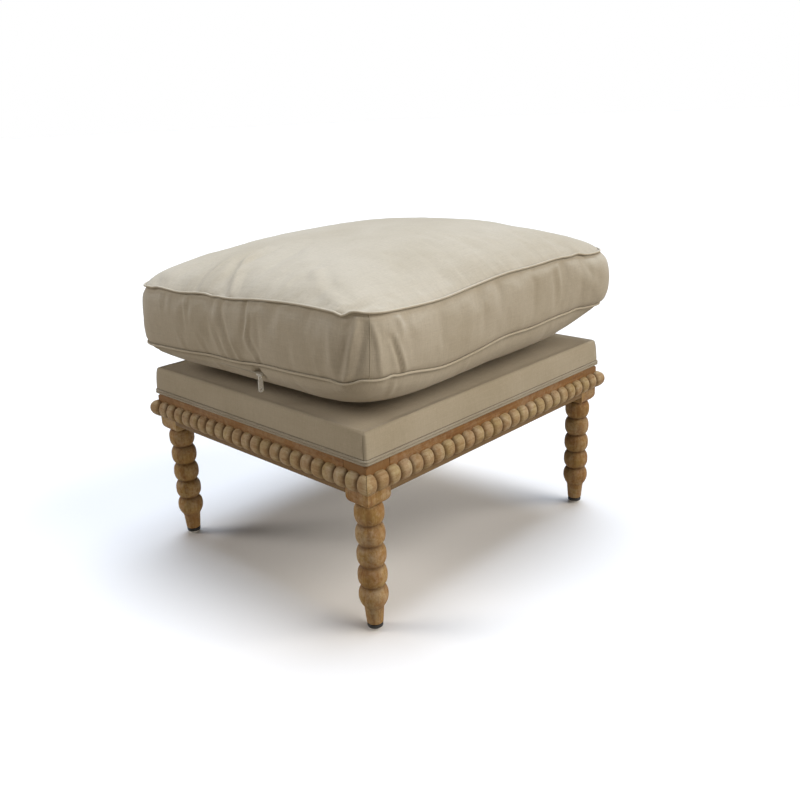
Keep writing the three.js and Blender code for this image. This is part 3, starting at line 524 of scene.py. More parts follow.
# The boxing's corner seams, in linen painted darker: painted shade of the seam's groove
SHADED_SEAM_CLOTH = linen("seam_cloth_painted_shade", (0.52, 0.45, 0.34), (0.42, 0.36, 0.27))
PALE, MID, DEEP = (0.54, 0.405, 0.225), (0.42, 0.28, 0.13), (0.27, 0.15, 0.057)
LEG_WOOD = wood("limed_wood_upright", (0.5, 0.325, 0.125), (0.38, 0.21, 0.068), (0.22, 0.11, 0.033), 2,
                band=(0.26, 0.125, 0.04), shade_limit=0.62)
BEAD_WOOD = [wood("limed_beads_x", PALE, MID, DEEP, 0, shade_limit=0.6),
             wood("limed_beads_y", PALE, MID, DEEP, 1, shade_limit=0.6)]
BAND = ((0.38, 0.2, 0.072), (0.285, 0.137, 0.042), (0.175, 0.078, 0.022))
# The rail's plain wood below the moulding, darkened by painted shadow cast by the beads
SHADED_FOOT = (0.2, 0.13, 0.058)
RAIL_WOOD = [wood("stained_rail_x", *BAND, 0, 0.5, SHADED_FOOT), wood("stained_rail_y", *BAND, 1, 0.5, SHADED_FOOT)]
PLAIN_WOOD = wood("plain_board", (0.68, 0.54, 0.36), (0.58, 0.43, 0.27), (0.45, 0.31, 0.17), 0, 0.3)
LINING = linen("black_lining", (0.03, 0.029, 0.028), (0.012, 0.012, 0.012))
ZIP_TAPE = linen("zip_tape", (0.5, 0.46, 0.38), (0.38, 0.34, 0.27))
ZIP_METAL = plain("zip_metal", (0.98, 0.95, 0.87), 0.4)
STEEL = plain("glide_steel", (0.78, 0.76, 0.73), 0.35, metallic=0.4)
BLACK = plain("glide_black", (0.02, 0.018, 0.016), 0.45)


# Meshes


def linked(name, data):
    """A new object in the scene."""
    obj = bpy.data.objects.new(name, data)
    bpy.context.scene.collection.objects.link(obj)
    return obj


def baked(shape):
    """The mesh that an object comes to with its modifiers. The object itself is removed."""
    mesh = bpy.data.meshes.new_from_object(shape.evaluated_get(bpy.context.evaluated_depsgraph_get()))
    bpy.data.objects.remove(shape)
    return mesh


def new_mesh(name, points, faces, uvs=None):
    """A mesh from its points and faces, and each face's cloth coordinates."""
    mesh = bpy.data.meshes.new(name)
    mesh.from_pydata([tuple(map(float, p)) for p in points], [], [tuple(map(int, f)) for f in faces])
    layer = mesh.uv_layers.new(name="UVMap")
    if uvs is not None:
        layer.data.foreach_set("uv", np.concatenate([np.ravel(uv) for uv in uvs]).astype(np.float32))
    return mesh


def piece(name, points, faces, material, body, stands_for=(), uvs=None, sharp=40,
          painted_shade=None):
    """A smooth-shaded mesh that rides on a body and may stand for CAD nodes."""
    mesh = new_mesh(name, points, faces, uvs)
    if painted_shade is not None:
        set_cavity(mesh, painted_shade)
    return finish_piece(linked(name, mesh), material, body, stands_for, sharp)


def set_cavity(mesh, values):
    """How much painted shade each point gets, 0 to 1, for the materials to darken it as shade in
    recesses.
    """
    layer = mesh.attributes.new("painted_shade", "FLOAT", "POINT")
    layer.data.foreach_set("value", np.asarray(values, np.float32))


def finish_piece(obj, material, body, stands_for=(), sharp=40):
    """Shades and paints an object, puts it on its body, and hides the CAD nodes it stands for."""
    shade(obj.data, sharp)
    obj.data.materials.clear()
    obj.data.materials.append(material)
    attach(obj, body)
    if stands_for:
        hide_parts(*stands_for)
    return obj


def shade(mesh, sharp):
    """Smooth faces, with a crease wherever two of them meet at more than the given degrees."""
    bm = bmesh.new()
    bm.from_mesh(mesh)
    bmesh.ops.recalc_face_normals(bm, faces=bm.faces)
    for face in bm.faces:
        face.smooth = True
    for edge in bm.edges:
        edge.smooth = len(edge.link_faces) == 2 and edge.calc_face_angle() < math.radians(sharp)
    bm.to_mesh(mesh)
    bm.free()


def bands(count, around, closed=False):
    """Quads between neighbouring rings of equal counts, ring by ring."""
    faces = []
    for ring in range(count if closed else count - 1):
        here, after = ring * around, (ring + 1) % count * around
        for side in range(around):
            step = (side + 1) % around
            faces.append((here + side, here + step, after + step, after + side))
    return faces


def joined(parts):
    """One body of points and faces from several."""
    points, faces = [], []
    for part_points, part_faces in parts:
        faces += [tuple(index + len(points) for index in face) for face in part_faces]
        points += list(part_points)
    return points, faces


def level_ring(angles, radii, z):
    """Points at one height, from their angles and radii."""
    return np.stack([radii * np.cos(angles), radii * np.sin(angles), np.full(len(angles), z)], 1)


def loft(rings, closed=False):
    """Points and quads over rings of equal counts, with flat caps unless it closes on itself."""
    rings = np.asarray(rings, float)
    count, around = rings.shape[:2]
    faces = bands(count, around, closed)
    if not closed:
        faces.append(tuple(range(around - 1, -1, -1)))
        faces.append(tuple((count - 1) * around + side for side in range(around)))
    return rings.reshape(-1, 3), faces


def turn(points, quarter):
    """The points turned about Z by quarter turns."""
    cosine, sine = round(math.cos(quarter * QUARTER)), round(math.sin(quarter * QUARTER))
    points = np.asarray(points, float)
    turned = points.copy()
    turned[:, 0] = cosine * points[:, 0] - sine * points[:, 1]
    turned[:, 1] = sine * points[:, 0] + cosine * points[:, 1]
    return turned


def tube(path, out, radius, sides=12, centre=(0, 0)):
    """A closed round tube along a level closed path. The centre is (outward, up) of the path."""
    angles = np.arange(sides) * 2 * math.pi / sides
    rings = []
    for point, direction in zip(path, out):
        away = centre[0] + radius * np.cos(angles)
        ring = np.outer(away, [*direction, 0.0]) + np.asarray(point)
        ring[:, 2] += centre[1] + radius * np.sin(angles)
        rings.append(ring)
    points, faces = loft(rings, closed=True)
    lengths = np.linalg.norm(np.roll(path, -1, axis=0) - path, axis=1)
    along = np.concatenate([[0], np.cumsum(lengths)])
    girth = 2 * math.pi * radius / sides
    uvs = []
    for ring in range(len(path)):
        for side in range(sides):
            corners = ((ring, side), (ring, side + 1), (ring + 1, side + 1), (ring + 1, side))
            uvs.append([(along[r], s * girth) for r, s in corners])
    return points, faces, uvs


def plan_loop(half_x, half_y, radius, straight, corner_steps, draw_in=0.0):
    """A rounded rectangle from the middle of its near left corner, anticlockwise.

    Gives its points, their outward directions, and each point's place: the side's number and
    how far along that side it lies, from 0 to 1.
    """
    points, outs, places = [], [], []
    for side in range(4):
        long_half, deep_half = (half_x, half_y) if side % 2 == 0 else (half_y, half_x)
        run = long_half - radius
        local = []
        for step in range(corner_steps):
            angle = -0.75 * math.pi + 0.25 * math.pi * step / corner_steps
            local.append((-run, -deep_half + radius, angle))
        count = straight[side % 2]
        for step in range(count + 1):
            share = step / count
            pull = draw_in * (1 - (2 * share - 1) ** 2)
            local.append((run * (2 * share - 1), -deep_half + radius + pull, -QUARTER))
        for step in range(1, corner_steps):
            angle = -QUARTER + 0.25 * math.pi * step / corner_steps
            local.append((run, -deep_half + radius, angle))
        flat = np.array([(x + radius * math.cos(a), y + radius * math.sin(a), 0) for x, y, a in local])
        normals = np.array([(math.cos(a), math.sin(a), 0) for _, _, a in local])
        points.append(turn(flat, side)[:, :2])
        outs.append(turn(normals, side)[:, :2])
        lengths = np.linalg.norm(np.diff(flat, axis=0), axis=1)
        lengths = np.append(lengths, lengths[0])
        along = np.concatenate([[0], np.cumsum(lengths)])
        places += [(side, value / along[-1]) for value in along[:-1]]
    return np.concatenate(points), np.concatenate(outs), np.array(places)


def sew_box(rings, straight, corner_steps, upper=None, lower=None):
    """A closed body from level rings, with a panel of quads in its top ring and its bottom ring.

    upper and lower shape a panel's grid of points. Also gives each face's cloth coordinates.
    """
    rings = np.asarray(rings, float)
    count, around = rings.shape[:2]
    across_x, across_y = straight[0] + 2 * corner_steps, straight[1] + 2 * corner_steps
    points, faces, uvs = list(rings), bands(count, around), []
    lengths = np.linalg.norm(np.roll(rings[0], -1, axis=0) - rings[0], axis=1)
    along = np.concatenate([[0], np.cumsum(lengths)])
    climb = np.concatenate([[0], np.cumsum(np.linalg.norm(np.diff(rings[:, 0], axis=0), axis=1))])
    for ring in range(count - 1):
        for side in range(around):
            uvs.append([(along[side], climb[ring]), (along[side + 1], climb[ring]),
                        (along[side + 1], climb[ring + 1]), (along[side], climb[ring + 1])])
    total = count * around
    for ring, form in ((0, lower), (count - 1, upper)):
        grid = np.zeros((across_x + 1, across_y + 1), int)
        names = ring * around + np.arange(around)
        grid[:across_x, 0] = names[:across_x]
        grid[across_x, :across_y] = names[across_x:across_x + across_y]
        grid[across_x:0:-1, across_y] = names[across_x + across_y:2 * across_x + across_y]
        grid[0, across_y:0:-1] = names[2 * across_x + across_y:]
        rim = np.ones(grid.shape, bool)
        rim[1:-1, 1:-1] = False
        lookup = np.zeros((across_x + 1, across_y + 1, 3))
        lookup[rim] = rings[ring][grid[rim] - ring * around]
        s = np.linspace(0, 1, across_x + 1)[:, None, None]
        t = np.linspace(0, 1, across_y + 1)[None, :, None]
        front, back, left, right = lookup[:, :1], lookup[:, -1:], lookup[:1], lookup[-1:]
        patch = (1 - t) * front + t * back + (1 - s) * left + s * right
        patch -= (1 - s) * (1 - t) * lookup[0, 0] + s * (1 - t) * lookup[-1, 0]
        patch -= (1 - s) * t * lookup[0, -1] + s * t * lookup[-1, -1]
        if form is not None:
            form(patch)
        inner = patch[1:-1, 1:-1].reshape(-1, 3)
        grid[1:-1, 1:-1] = total + np.arange(len(inner)).reshape(across_x - 1, across_y - 1)
        total += len(inner)
        points.append(inner)
        for i in range(across_x):
            for j in range(across_y):
                quad = [(i, j), (i + 1, j), (i + 1, j + 1), (i, j + 1)]
                if ring == 0:
                    quad.reverse()
                faces.append(tuple(grid[a, b] for a, b in quad))
                uvs.append([tuple(patch[a, b, :2]) for a, b in quad])
    return np.concatenate(points), [tuple(int(i) for i in face) for face in faces], uvs


def membrane(across_x, across_y):
    """The form of a film blown up over a panel's edge, 0 at the edge and 1 in the middle."""
    film = np.zeros((across_x + 1, across_y + 1))
    for _ in range(FILM_ROUNDS):
        around = film[2:, 1:-1] + film[:-2, 1:-1] + film[1:-1, 2:] + film[1:-1, :-2]
        film[1:-1, 1:-1] = 0.25 * (around + 1)
    return film / film.max()


def wave(values, place):
    """The height at a place round the outline, from values at equal steps round it."""
    steps = len(values) // 4
    position = (place[0] + place[1]) * steps
    index = int(math.floor(position))
    share = position - index
    before, first, second, after = (values[(index + k) % len(values)] for k in (-1, 0, 1, 2))
    slope = second - before
    bend = 2 * before - 5 * first + 4 * second - after
    twist = 3 * (first - second) + after - before
    return first + 0.5 * share * (slope + share * (bend + share * twist))


# Legs


def square_radius(angle, half, rounding):
    """From the middle to the edge of a square with rounded corners, at an angle."""
    folded = angle % QUARTER
    folded = min(folded, QUARTER - folded)
    if half * math.tan(folded) <= half - rounding:
        return half / math.cos(folded)
    inner = half - rounding
    spread = inner * (math.cos(folded) - math.sin(folded))
    return inner * (math.cos(folded) + math.sin(folded)) + math.sqrt(rounding ** 2 - spread ** 2)


def leg_rings(leg_low, leg_high):
    """Heights, radii and painted shade of a leg's rings, the shade deepest in the notches between
    bobbins: round first, then square.
    """
    angles = np.arange(LEG_SIDES) * 2 * math.pi / LEG_SIDES
    head = (leg_high.x - leg_low.x) / 2
    bottom, top = leg_low.z, leg_high.z
    pitch = (KNEE_BOTTOM + MM - (bottom + FOOT_HEIGHT * MM)) / BOBBIN_COUNT
    swell = (BOBBIN_RADIUS - NOTCH_RADIUS) * MM
    levels = [(bottom, (FOOT_END_RADIUS - ARRIS) * MM, 0.3)]
    levels.append((bottom + ARRIS * MM, FOOT_END_RADIUS * MM, 0.0))
    levels.append((bottom + FOOT_HEIGHT * MM - FOOT_NECK * MM, FOOT_TOP_RADIUS * MM, 0.1))
    for bobbin in range(BOBBIN_COUNT):
        middle = bottom + FOOT_HEIGHT * MM + (bobbin + 0.5) * pitch
        play = HAND_PLAY * MM * noise.noise(Vector((bobbin * 3.7, 1.3, 0.4)))
        for step in range(BOBBIN_STEPS + 1):
            share = math.sin(QUARTER * (2 * step / BOBBIN_STEPS - 1))
            eased_out = bobbin == 0 and share < 0
            fullness = LAST_FULLNESS if eased_out else BOBBIN_FULLNESS
            radius = BOBBIN_RADIUS * MM + play - (swell + play) * abs(share) ** fullness
            level = middle + share * pitch / 2
            if level < KNEE_BOTTOM:
                levels.append((level, radius, abs(share) ** 7 * (0.3 if eased_out else 1)))
    rings = [level_ring(angles, radius, z) for z, radius, _ in levels]
    painted_shade = [value for _, _, value in levels]
    squares = []
    for step in range(OVOLO_STEPS + 1):
        angle = QUARTER * step / OVOLO_STEPS
        half = KNEE_END / 2 * MM + (head - KNEE_END / 2 * MM) * math.sin(angle)
        level = KNEE_BOTTOM + KNEE_OVOLO * MM * (1 - math.cos(angle))
        squares.append((level, half, ARRIS, 0.6 if step == 0 else 0.0))
    eased = WELT_LOW - EASED_BELOW * MM
    squares += [(eased - EASED_OVER * MM, head, ARRIS, 0.1), (eased, head, HEAD_CORNER, 0.2)]
    squares.append((top, head, HEAD_CORNER, 0.2))
    for z, half, rounding, shade_share in squares:
        outer = abs(angles - 2.5 * QUARTER) < QUARTER / 2
        radii = np.array([square_radius(a, half, (rounding if is_outer else min(rounding, ARRIS)) * MM)
                          for a, is_outer in zip(angles, outer)])
        rings.append(level_ring(angles, radii, z))
        painted_shade.append(shade_share)
    return rings, painted_shade


def make_legs():
    """The four turned legs, each with its arris to its own corner."""
    low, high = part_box("leg_front_left")
    rings, painted_shade = leg_rings(low, high)
    points, faces = loft(rings)
    for name, quarter in CORNERS.items():
        corner_low, corner_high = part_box(f"leg_{name}")
        centre = (corner_low + corner_high) / 2
        moved = turn(points, quarter) + np.array([centre.x, centre.y, 0])
        piece(f"turned_leg_{name}", moved, faces, LEG_WOOD, "base", (f"leg_{name}",),
              painted_shade=np.repeat(painted_shade, LEG_SIDES), sharp=38)


def revolve(name, profile, centre, material, stands_for):
    """A turned piece of the base, from the radii and heights of its outline."""
    angles = np.arange(GLIDE_SIDES) * 2 * math.pi / GLIDE_SIDES
    points, faces = loft([level_ring(angles, radius, z) for radius, z in profile])
    moved = points + np.array([centre.x, centre.y, 0])
    piece(name, moved, faces, material, "base", stands_for, sharp=50)


def make_glides():
    """A black collar round the foot's end and a domed steel button under it."""
    for name in CORNERS:
        low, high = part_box(f"glide_collar_{name}")
        radius, edge = (high.x - low.x) / 2, MM
        centre = (low + high) / 2
        collar = [(radius - 2 * edge, low.z), (radius - edge / 2, low.z), (radius, low.z + edge),
                  (radius, high.z - edge / 2), (radius - edge / 2, high.z)]
        revolve(f"collar_{name}", collar, centre, BLACK, (f"glide_collar_{name}",))
        low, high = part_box(f"glide_button_{name}")
        radius = (high.x - low.x) / 2
        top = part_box(f"glide_collar_{name}")[0].z
        button = [(radius - 2 * edge, 0), (radius - edge / 2, edge / 3), (radius, edge),
                  (radius, top - edge / 2), (radius - edge, top), (NAIL * MM, top), (NAIL * MM, high.z)]
        revolve(f"button_{name}", button, centre, STEEL, (f"glide_button_{name}",))


# Apron


def bead_moulding(name, side):
    """Half-round beads in a row, cut square to the mitres at both ends."""
    low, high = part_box(f"bead_moulding_{name}")
    low, high = np.array(low), np.array(high)
    along, out = (0, 1) if side % 2 == 0 else (1, 0)
    length = high[along] - low[along]
    depth = high[out] - low[out]
    half = (high[2] - low[2]) / 2
    middle = (high[2] + low[2]) / 2
    count = BEADS[side % 2]
    pitch = length / count
    valley = BEAD_VALLEY * MM
    rings, painted_shade = [], []
    spread = np.linspace(-QUARTER, QUARTER, BEAD_SECTION_STEPS + 1)
    for bead in range(count):
        centre = pitch * (bead + 0.5) - length / 2
        play = HAND_PLAY * MM * noise.noise(Vector((bead * 2.3, side * 5.1, 0.7)))
        for step in range(0 if bead == 0 else 1, BEAD_STEPS + 1):
            share = math.sin(QUARTER * (2 * step / BEAD_STEPS - 1))
            drop = (valley - play) * abs(share) ** BEAD_FULLNESS + play
            if (bead == 0 and share < 0) or (bead == count - 1 and share > 0):
                drop = play
            y = -(depth - drop) * np.cos(spread)
            z = middle + (half - drop) * np.sin(spread)
            rings.append(np.stack([np.full(len(spread), centre + share * pitch / 2), y, z], 1))
            # Painted shade in the valleys between the beads
            painted_shade.append(max(0, (drop - play) / (valley - play)) ** 1.6)
    points, faces = loft(rings)
    back = abs(low[out] if low[out] > 0 else high[out])
    moved = turn(points + np.array([0, -back, 0]), side)
    obj = piece(f"beads_{name}", moved, faces, BEAD_WOOD[side % 2], "base", (f"bead_moulding_{name}",),
                painted_shade=np.repeat(painted_shade, len(spread)), sharp=60)
    for end in (-1, 1):
        cut_mitre(obj.data, side, end, back, length / 2 - depth)
    shade(obj.data, 60)


def cut_mitre(mesh, side, end, back, frame_half):
    """Cuts a moulding's end off on the plane through the frame's corner at 45 degrees."""
    corner = turn([(end * (frame_half - 0.15 * MM), -back, 0)], side)[0]
    normal = turn([(end, 1, 0)], side)[0]
    bm = bmesh.new()
    bm.from_mesh(mesh)
    everything = bm.verts[:] + bm.edges[:] + bm.faces[:]
    cut = bmesh.ops.bisect_plane(bm, geom=everything, plane_co=corner, plane_no=normal, clear_outer=True)
    rim = [item for item in cut["geom_cut"] if isinstance(item, bmesh.types.BMEdge)]
    bmesh.ops.edgeloop_fill(bm, edges=rim)
    bm.to_mesh(mesh)
    bm.free()


def make_apron():
    """The bead mouldings, and the stain on the rails behind them."""
    for name, side in SIDES.items():
        bead_moulding(name, side)
        repaint(f"rail_{name}", RAIL_WOOD[side % 2])


def repaint(node, material):
    """Gives a carried-over CAD node its material."""
    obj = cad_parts[node]
    obj.data.materials.clear()
    obj.data.materials.append(material)


def make_hidden():
    """What shows only from below or with the cushion lifted."""
    repaint("seat_board", PLAIN_WOOD)
    repaint("dust_cover", LINING)
    for name in CORNERS:
        repaint(f"corner_block_{name}", PLAIN_WOOD)
        repaint(f"block_screw_a_{name}", STEEL)
        repaint(f"block_screw_b_{name}", STEEL)


# Deck


def make_deck():
    """The fixed pad: foam under linen, pulled down over the rails and tacked under the welt."""
    low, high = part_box("deck_cover")
    foam_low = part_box("deck_foam")[0]
    straight, corner = DECK_CELLS, DECK_CORNER_STEPS
    half_x, half_y = high.x, high.y
    shoulder, taper = DECK_SHOULDER * MM, DECK_TAPER * MM

    def seams(place):
        """1 at the four corner seams, each just before its corner, and 0 elsewhere."""
        return np.roll(place[:, 1] == 0, 1 - corner) * 1.0

    def ring(inset, z, rounding=0.0):
        radius = max(DECK_CORNER * MM - inset * 0.4 + rounding, 2 * MM)
        xy, out, place = plan_loop(half_x - inset, half_y - inset, radius, straight, corner)
        xy = xy - out * (seams(place) * SEAM_GROOVE * MM)[:, None]
        if SEAM_START < z < high.z - shoulder:
            bow = math.sin(math.pi * (z - SEAM_START) / (high.z - SEAM_START))
            xy = xy + out * (bow * DECK_BOW * MM)
        return np.column_stack([xy, np.full(len(xy), z)])

    inner = FABRIC * MM
    rings = [ring(inner, foam_low.z), ring(inner, low.z), ring(0, low.z)]
    wall = high.z - shoulder - foam_low.z
    for step in range(DECK_WALL_STEPS + 1):
        share = step / DECK_WALL_STEPS
        rings.append(ring(taper * share, foam_low.z + wall * share))
    for step in range(1, DECK_ROUND_STEPS + 1):
        angle = QUARTER * step / DECK_ROUND_STEPS
        inset = taper + shoulder * (1 - math.cos(angle))
        rings.append(ring(inset, high.z - shoulder * (1 - math.sin(angle))))

    def sag(patch):
        film = membrane(patch.shape[0] - 1, patch.shape[1] - 1)
        patch[..., 2] -= DECK_SAG * MM * np.clip(film * 4, 0, 1)

    points, faces, uvs = sew_box(rings, straight, corner, upper=sag)
    # Painted shade along the four corner seams
    seam_shade = seams(plan_loop(half_x, half_y, DECK_CORNER * MM, straight, corner)[2]) * DECK_SEAM_SHADE
    shaded = np.zeros(len(points))
    shaded[:len(rings) * len(seam_shade)] = np.tile(seam_shade, len(rings))
    pad = piece("deck_pad", points, faces, SHADED_DECK_CLOTH, "base", ("deck_cover", "deck_foam"), uvs,
                sharp=50, painted_shade=shaded)


def make_welt():
    """Two cords side by side, one over the other, round the foot of the deck."""
    low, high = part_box("double_welt")
    radius, spread = WELT_RADIUS * MM, WELT_SPREAD * MM
    half_x, half_y = high.x - radius - WELT_SINK * MM, high.y - radius - WELT_SINK * MM
    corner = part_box("deck_cover")[1].x - half_x
    xy, out, _ = plan_loop(half_x, half_y, DECK_CORNER * MM - corner, DECK_CELLS, DECK_CORNER_STEPS)
    path = np.column_stack([xy, np.full(len(xy), (low.z + high.z) / 2)])
    cords = [tube(path, out, radius, centre=(0, height)) for height in (-spread, spread)]
    points, faces = joined([cord[:2] for cord in cords])
    uvs = cords[0][2] + cords[1][2]
    piece("welt_cords", points, faces, WELT_LINEN, "base", ("double_welt",), uvs, sharp=70)


# Cushion


def make_cushion():
    """The loose cushion: a simulated cloth cover on its seams, then its listed creases."""
    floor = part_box("cushion_cover")[0].z
    lower = sum(p.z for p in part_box("piping_lower")) / 2
    upper = sum(p.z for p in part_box("piping_upper")) / 2
    half_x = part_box("cushion_cover")[1].x - CUSHION_BULGE * MM
    half_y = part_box("cushion_cover")[1].y - CUSHION_BULGE * MM
    straight = tuple(round(2 * (half - CUSHION_CORNER * MM) / (CELL * MM)) for half in (half_x, half_y))
    radius = CUSHION_CORNER * MM
    xy, out, place = plan_loop(half_x, half_y, radius, straight, CORNER_CELLS, CUSHION_DRAW_IN * MM)
    low_z = lower + round_waves(LOWER_SEAM_RISE, place, LOWER_KINKS) * MM
    high_z = upper + round_waves(UPPER_SEAM_RISE, place, UPPER_KINKS) * MM
    low_out, high_out = round_waves(LOWER_SEAM_OUT, place) * MM, round_waves(UPPER_SEAM_OUT, place) * MM
    swell = round_waves(BOXING_SWELL, place) * MM
    rings = []
    steps = [step / BOXING_CELLS for step in range(BOXING_CELLS + 1)]
    for share in steps[:1] + [RIM_SHARE] + steps[1:-1] + [1 - RIM_SHARE] + steps[-1:]:
        bulge = swell * max(0.0, math.sin(math.pi * share)) ** BOXING_FULLNESS
        if 0 < share < 1:
            for gap, depth, reach in zip((share, 1 - share), SEAM_DEPTHS, SEAM_REACHES):
                bulge = bulge - depth * MM * math.exp(-(gap * (upper - lower) / (reach * MM)) ** 2)
        away = (1 - share) * low_out + share * high_out + bulge
        rings.append(np.column_stack([xy + out * away[:, None], (1 - share) * low_z + share * high_z]))
    film = membrane(straight[0] + 2 * CORNER_CELLS, straight[1] + 2 * CORNER_CELLS)

    def crown(patch):
        patch[..., 2] += CUSHION_CROWN * MM * film ** CROWN_SHARPNESS

    def belly(patch):
        def rise(gap):
            near = np.clip(gap / (UNDER_RUN * MM), 0, 1)
            return np.sqrt(1 - (1 - near) ** 2)

        full = rise(np.minimum(patch[..., 0] - patch[:1, :, 0], patch[-1:, :, 0] - patch[..., 0]))
        full = full * rise(np.minimum(patch[..., 1] - patch[:, :1, 1], patch[:, -1:, 1] - patch[..., 1]))
        away = np.hypot(patch[..., 0] - half_x, patch[..., 1] + half_y) / (SLACK_REACH * MM)
        full = full ** (1 + SLACK * np.exp(-away ** 2))
        patch[..., 2] -= (patch[..., 2] - floor) * full

    points, faces, uvs = sew_box(rings, straight, CORNER_CELLS, upper=crown, lower=belly)
    around = len(xy)
    seams = np.zeros(len(points), bool)
    seams[:around] = seams[(len(rings) - 1) * around:len(rings) * around] = True
    points = wrinkle(points, faces, seams, floor)
    mesh = subdivide(points, faces, uvs, seams, around)
    crease_cushion(mesh, half_x, half_y, rings, floor)
    obj = linked("box_cushion", mesh)
    finish_piece(obj, LINEN, "cushion", ("cushion_cover", "cushion_insert"), 75)
    for name, ring, thick, away, lift in zip(
            ("lower", "upper"), (0, -1), PIPING_RADII, PIPING_OUTS, PIPING_LIFTS):
        centre = (away * MM, lift * MM)
        cord, cord_faces, cord_uvs = tube(np.asarray(rings[ring]), out, thick * MM, centre=centre)
        piece(f"piping_cord_{name}", cord, cord_faces, PAINTED_HIGHLIGHT_PIPING, "cushion", (f"piping_{name}",),
              cord_uvs, sharp=70)
    cover_faces = [tuple(p.vertices) for p in mesh.polygons]
    surface = BVHTree.FromPolygons([v.co for v in mesh.vertices], cover_faces)
    for corner, name in enumerate(("near_left", "near_right", "far_right", "far_left")):
        start = np.flatnonzero((place[:, 0] == corner) & (place[:, 1] == 0))[0]
        column = int(start) + SEAM_COLUMNS[corner]
        climb = np.linspace(0, SEAM_LEAN, len(rings))[:, None]
        spine = (1 - climb) * np.asarray(rings)[:, column] + climb * np.asarray(rings)[:, column + 1]
        boxing_seam(name, spine, out[column], surface)


def round_waves(values, place, kinks=()):
    """Heights round the outline from values at equal steps, with narrow kinks added."""
    heights = np.array([wave(values, p) for p in place])
    where = place[:, 0] + place[:, 1]
    for centre, width, rise in kinks:
        gap = (where - centre + 2) % 4 - 2
        heights += rise * np.exp(-(gap / width) ** 2)
    return heights


def edges_of(faces):
    """The pairs of points that share an edge, each once."""
    pairs = np.array([(a, b) for face in faces for a, b in zip(face, face[1:] + face[:1])])
    return np.unique(np.sort(pairs, axis=1), axis=0)


def smoothed(values, edges, rounds):
    """Each point's value drawn to its neighbours' mean, a number of times over."""
    count = np.zeros(len(values))
    np.add.at(count, edges.ravel(), 1)
    for _ in range(rounds):
        total = np.zeros_like(values)
        np.add.at(total, edges[:, 0], values[edges[:, 1]])
        np.add.at(total, edges[:, 1], values[edges[:, 0]])
        values = 0.5 * values + 0.5 * total / count[:, None]
    return values


def wrinkle(points, faces, seams, floor):
    """Blows the cover up as cloth a little too big for its seams, and keeps its wrinkles."""
    cloth = linked("cloth", new_mesh("cloth", points, faces))
    scene = bpy.context.scene
    group = cloth.vertex_groups.new(name="seams")
    group.add([int(index) for index in np.flatnonzero(seams)], 1.0, "REPLACE")
    settings = cloth.modifiers.new("cloth", "CLOTH").settings
    for key, value in CLOTH.items():
        setattr(settings, key, value)
    settings.effector_weights.gravity = 0
    scene.frame_start, scene.frame_end = 1, CLOTH_FRAMES
    for moment in range(1, CLOTH_FRAMES + 1):
        scene.frame_set(moment)
    blown = cloth.evaluated_get(bpy.context.evaluated_depsgraph_get()).data
    moved = np.empty(len(points) * 3)
    blown.vertices.foreach_get("co", moved)
    scene.frame_set(1)
    bpy.data.objects.remove(cloth)
    shift = moved.reshape(-1, 3) - points
    edges = edges_of(faces)
    fine = shift - smoothed(shift, edges, SMOOTHING_ROUNDS)
    length = np.linalg.norm(fine, axis=1, keepdims=True)
    fine *= np.minimum(1, CAP * MM / np.maximum(length, 1e-9))
    fine[seams] = 0
    heights = points[seams, 2]
    lower = (heights.min() + heights.mean()) / 2
    levels = (floor, lower, lower + WRINKLE_BLEND * MM, heights.max())
    fine *= np.interp(points[:, 2], levels, (0, *WRINKLE_SHARES))[:, None]
    return points + fine


def subdivide(points, faces, uvs, seams, around):
    """The cover once subdivided, with its seams kept sharp."""
    mesh = new_mesh("cover", points, faces, uvs)
    creases = mesh.attributes.new("crease_edge", "FLOAT", "EDGE")
    ends = np.empty(len(mesh.edges) * 2, int)
    mesh.edges.foreach_get("vertices", ends)
    ends = ends.reshape(-1, 2)
    on_seam = seams[ends].all(axis=1) & (ends[:, 0] // around == ends[:, 1] // around)
    creases.data.foreach_set("value", on_seam.astype(np.float32))
    shape = linked("cover", mesh)
    surface = shape.modifiers.new("smooth", "SUBSURF")
    surface.levels = surface.render_levels = 1
    return baked(shape)


def along_outline(x, y, half_x, half_y):
    """Millimetres round the outline from the near left corner's middle, + by the front."""
    radius = CUSHION_CORNER * MM
    bend = QUARTER * radius
    runs = (2 * (half_x - radius), 2 * (half_y - radius))
    total = 2 * (runs[0] + runs[1]) + 4 * bend
    along = np.zeros_like(x)
    start = -bend / 2
    for side in range(4):
        back = turn(np.column_stack([x, y, 0 * x]), -side)
        half_run, half_deep = (half_x, half_y) if side % 2 == 0 else (half_y, half_x)
        reach_x, reach_y = half_run - radius, half_deep - radius
        u, v = back[:, 0], back[:, 1]
        angle = np.arctan2(v + reach_y, u + reach_x) + math.pi
        corner = (u < -reach_x) & (v < -reach_y)
        along[corner] = start + radius * angle[corner]
        flat = (abs(u) <= reach_x) & (v <= -reach_y)
        along[flat] = start + bend + (u + reach_x)[flat]
        start += bend + runs[side % 2]
    return np.where(along > total / 2, along - total, along) / MM


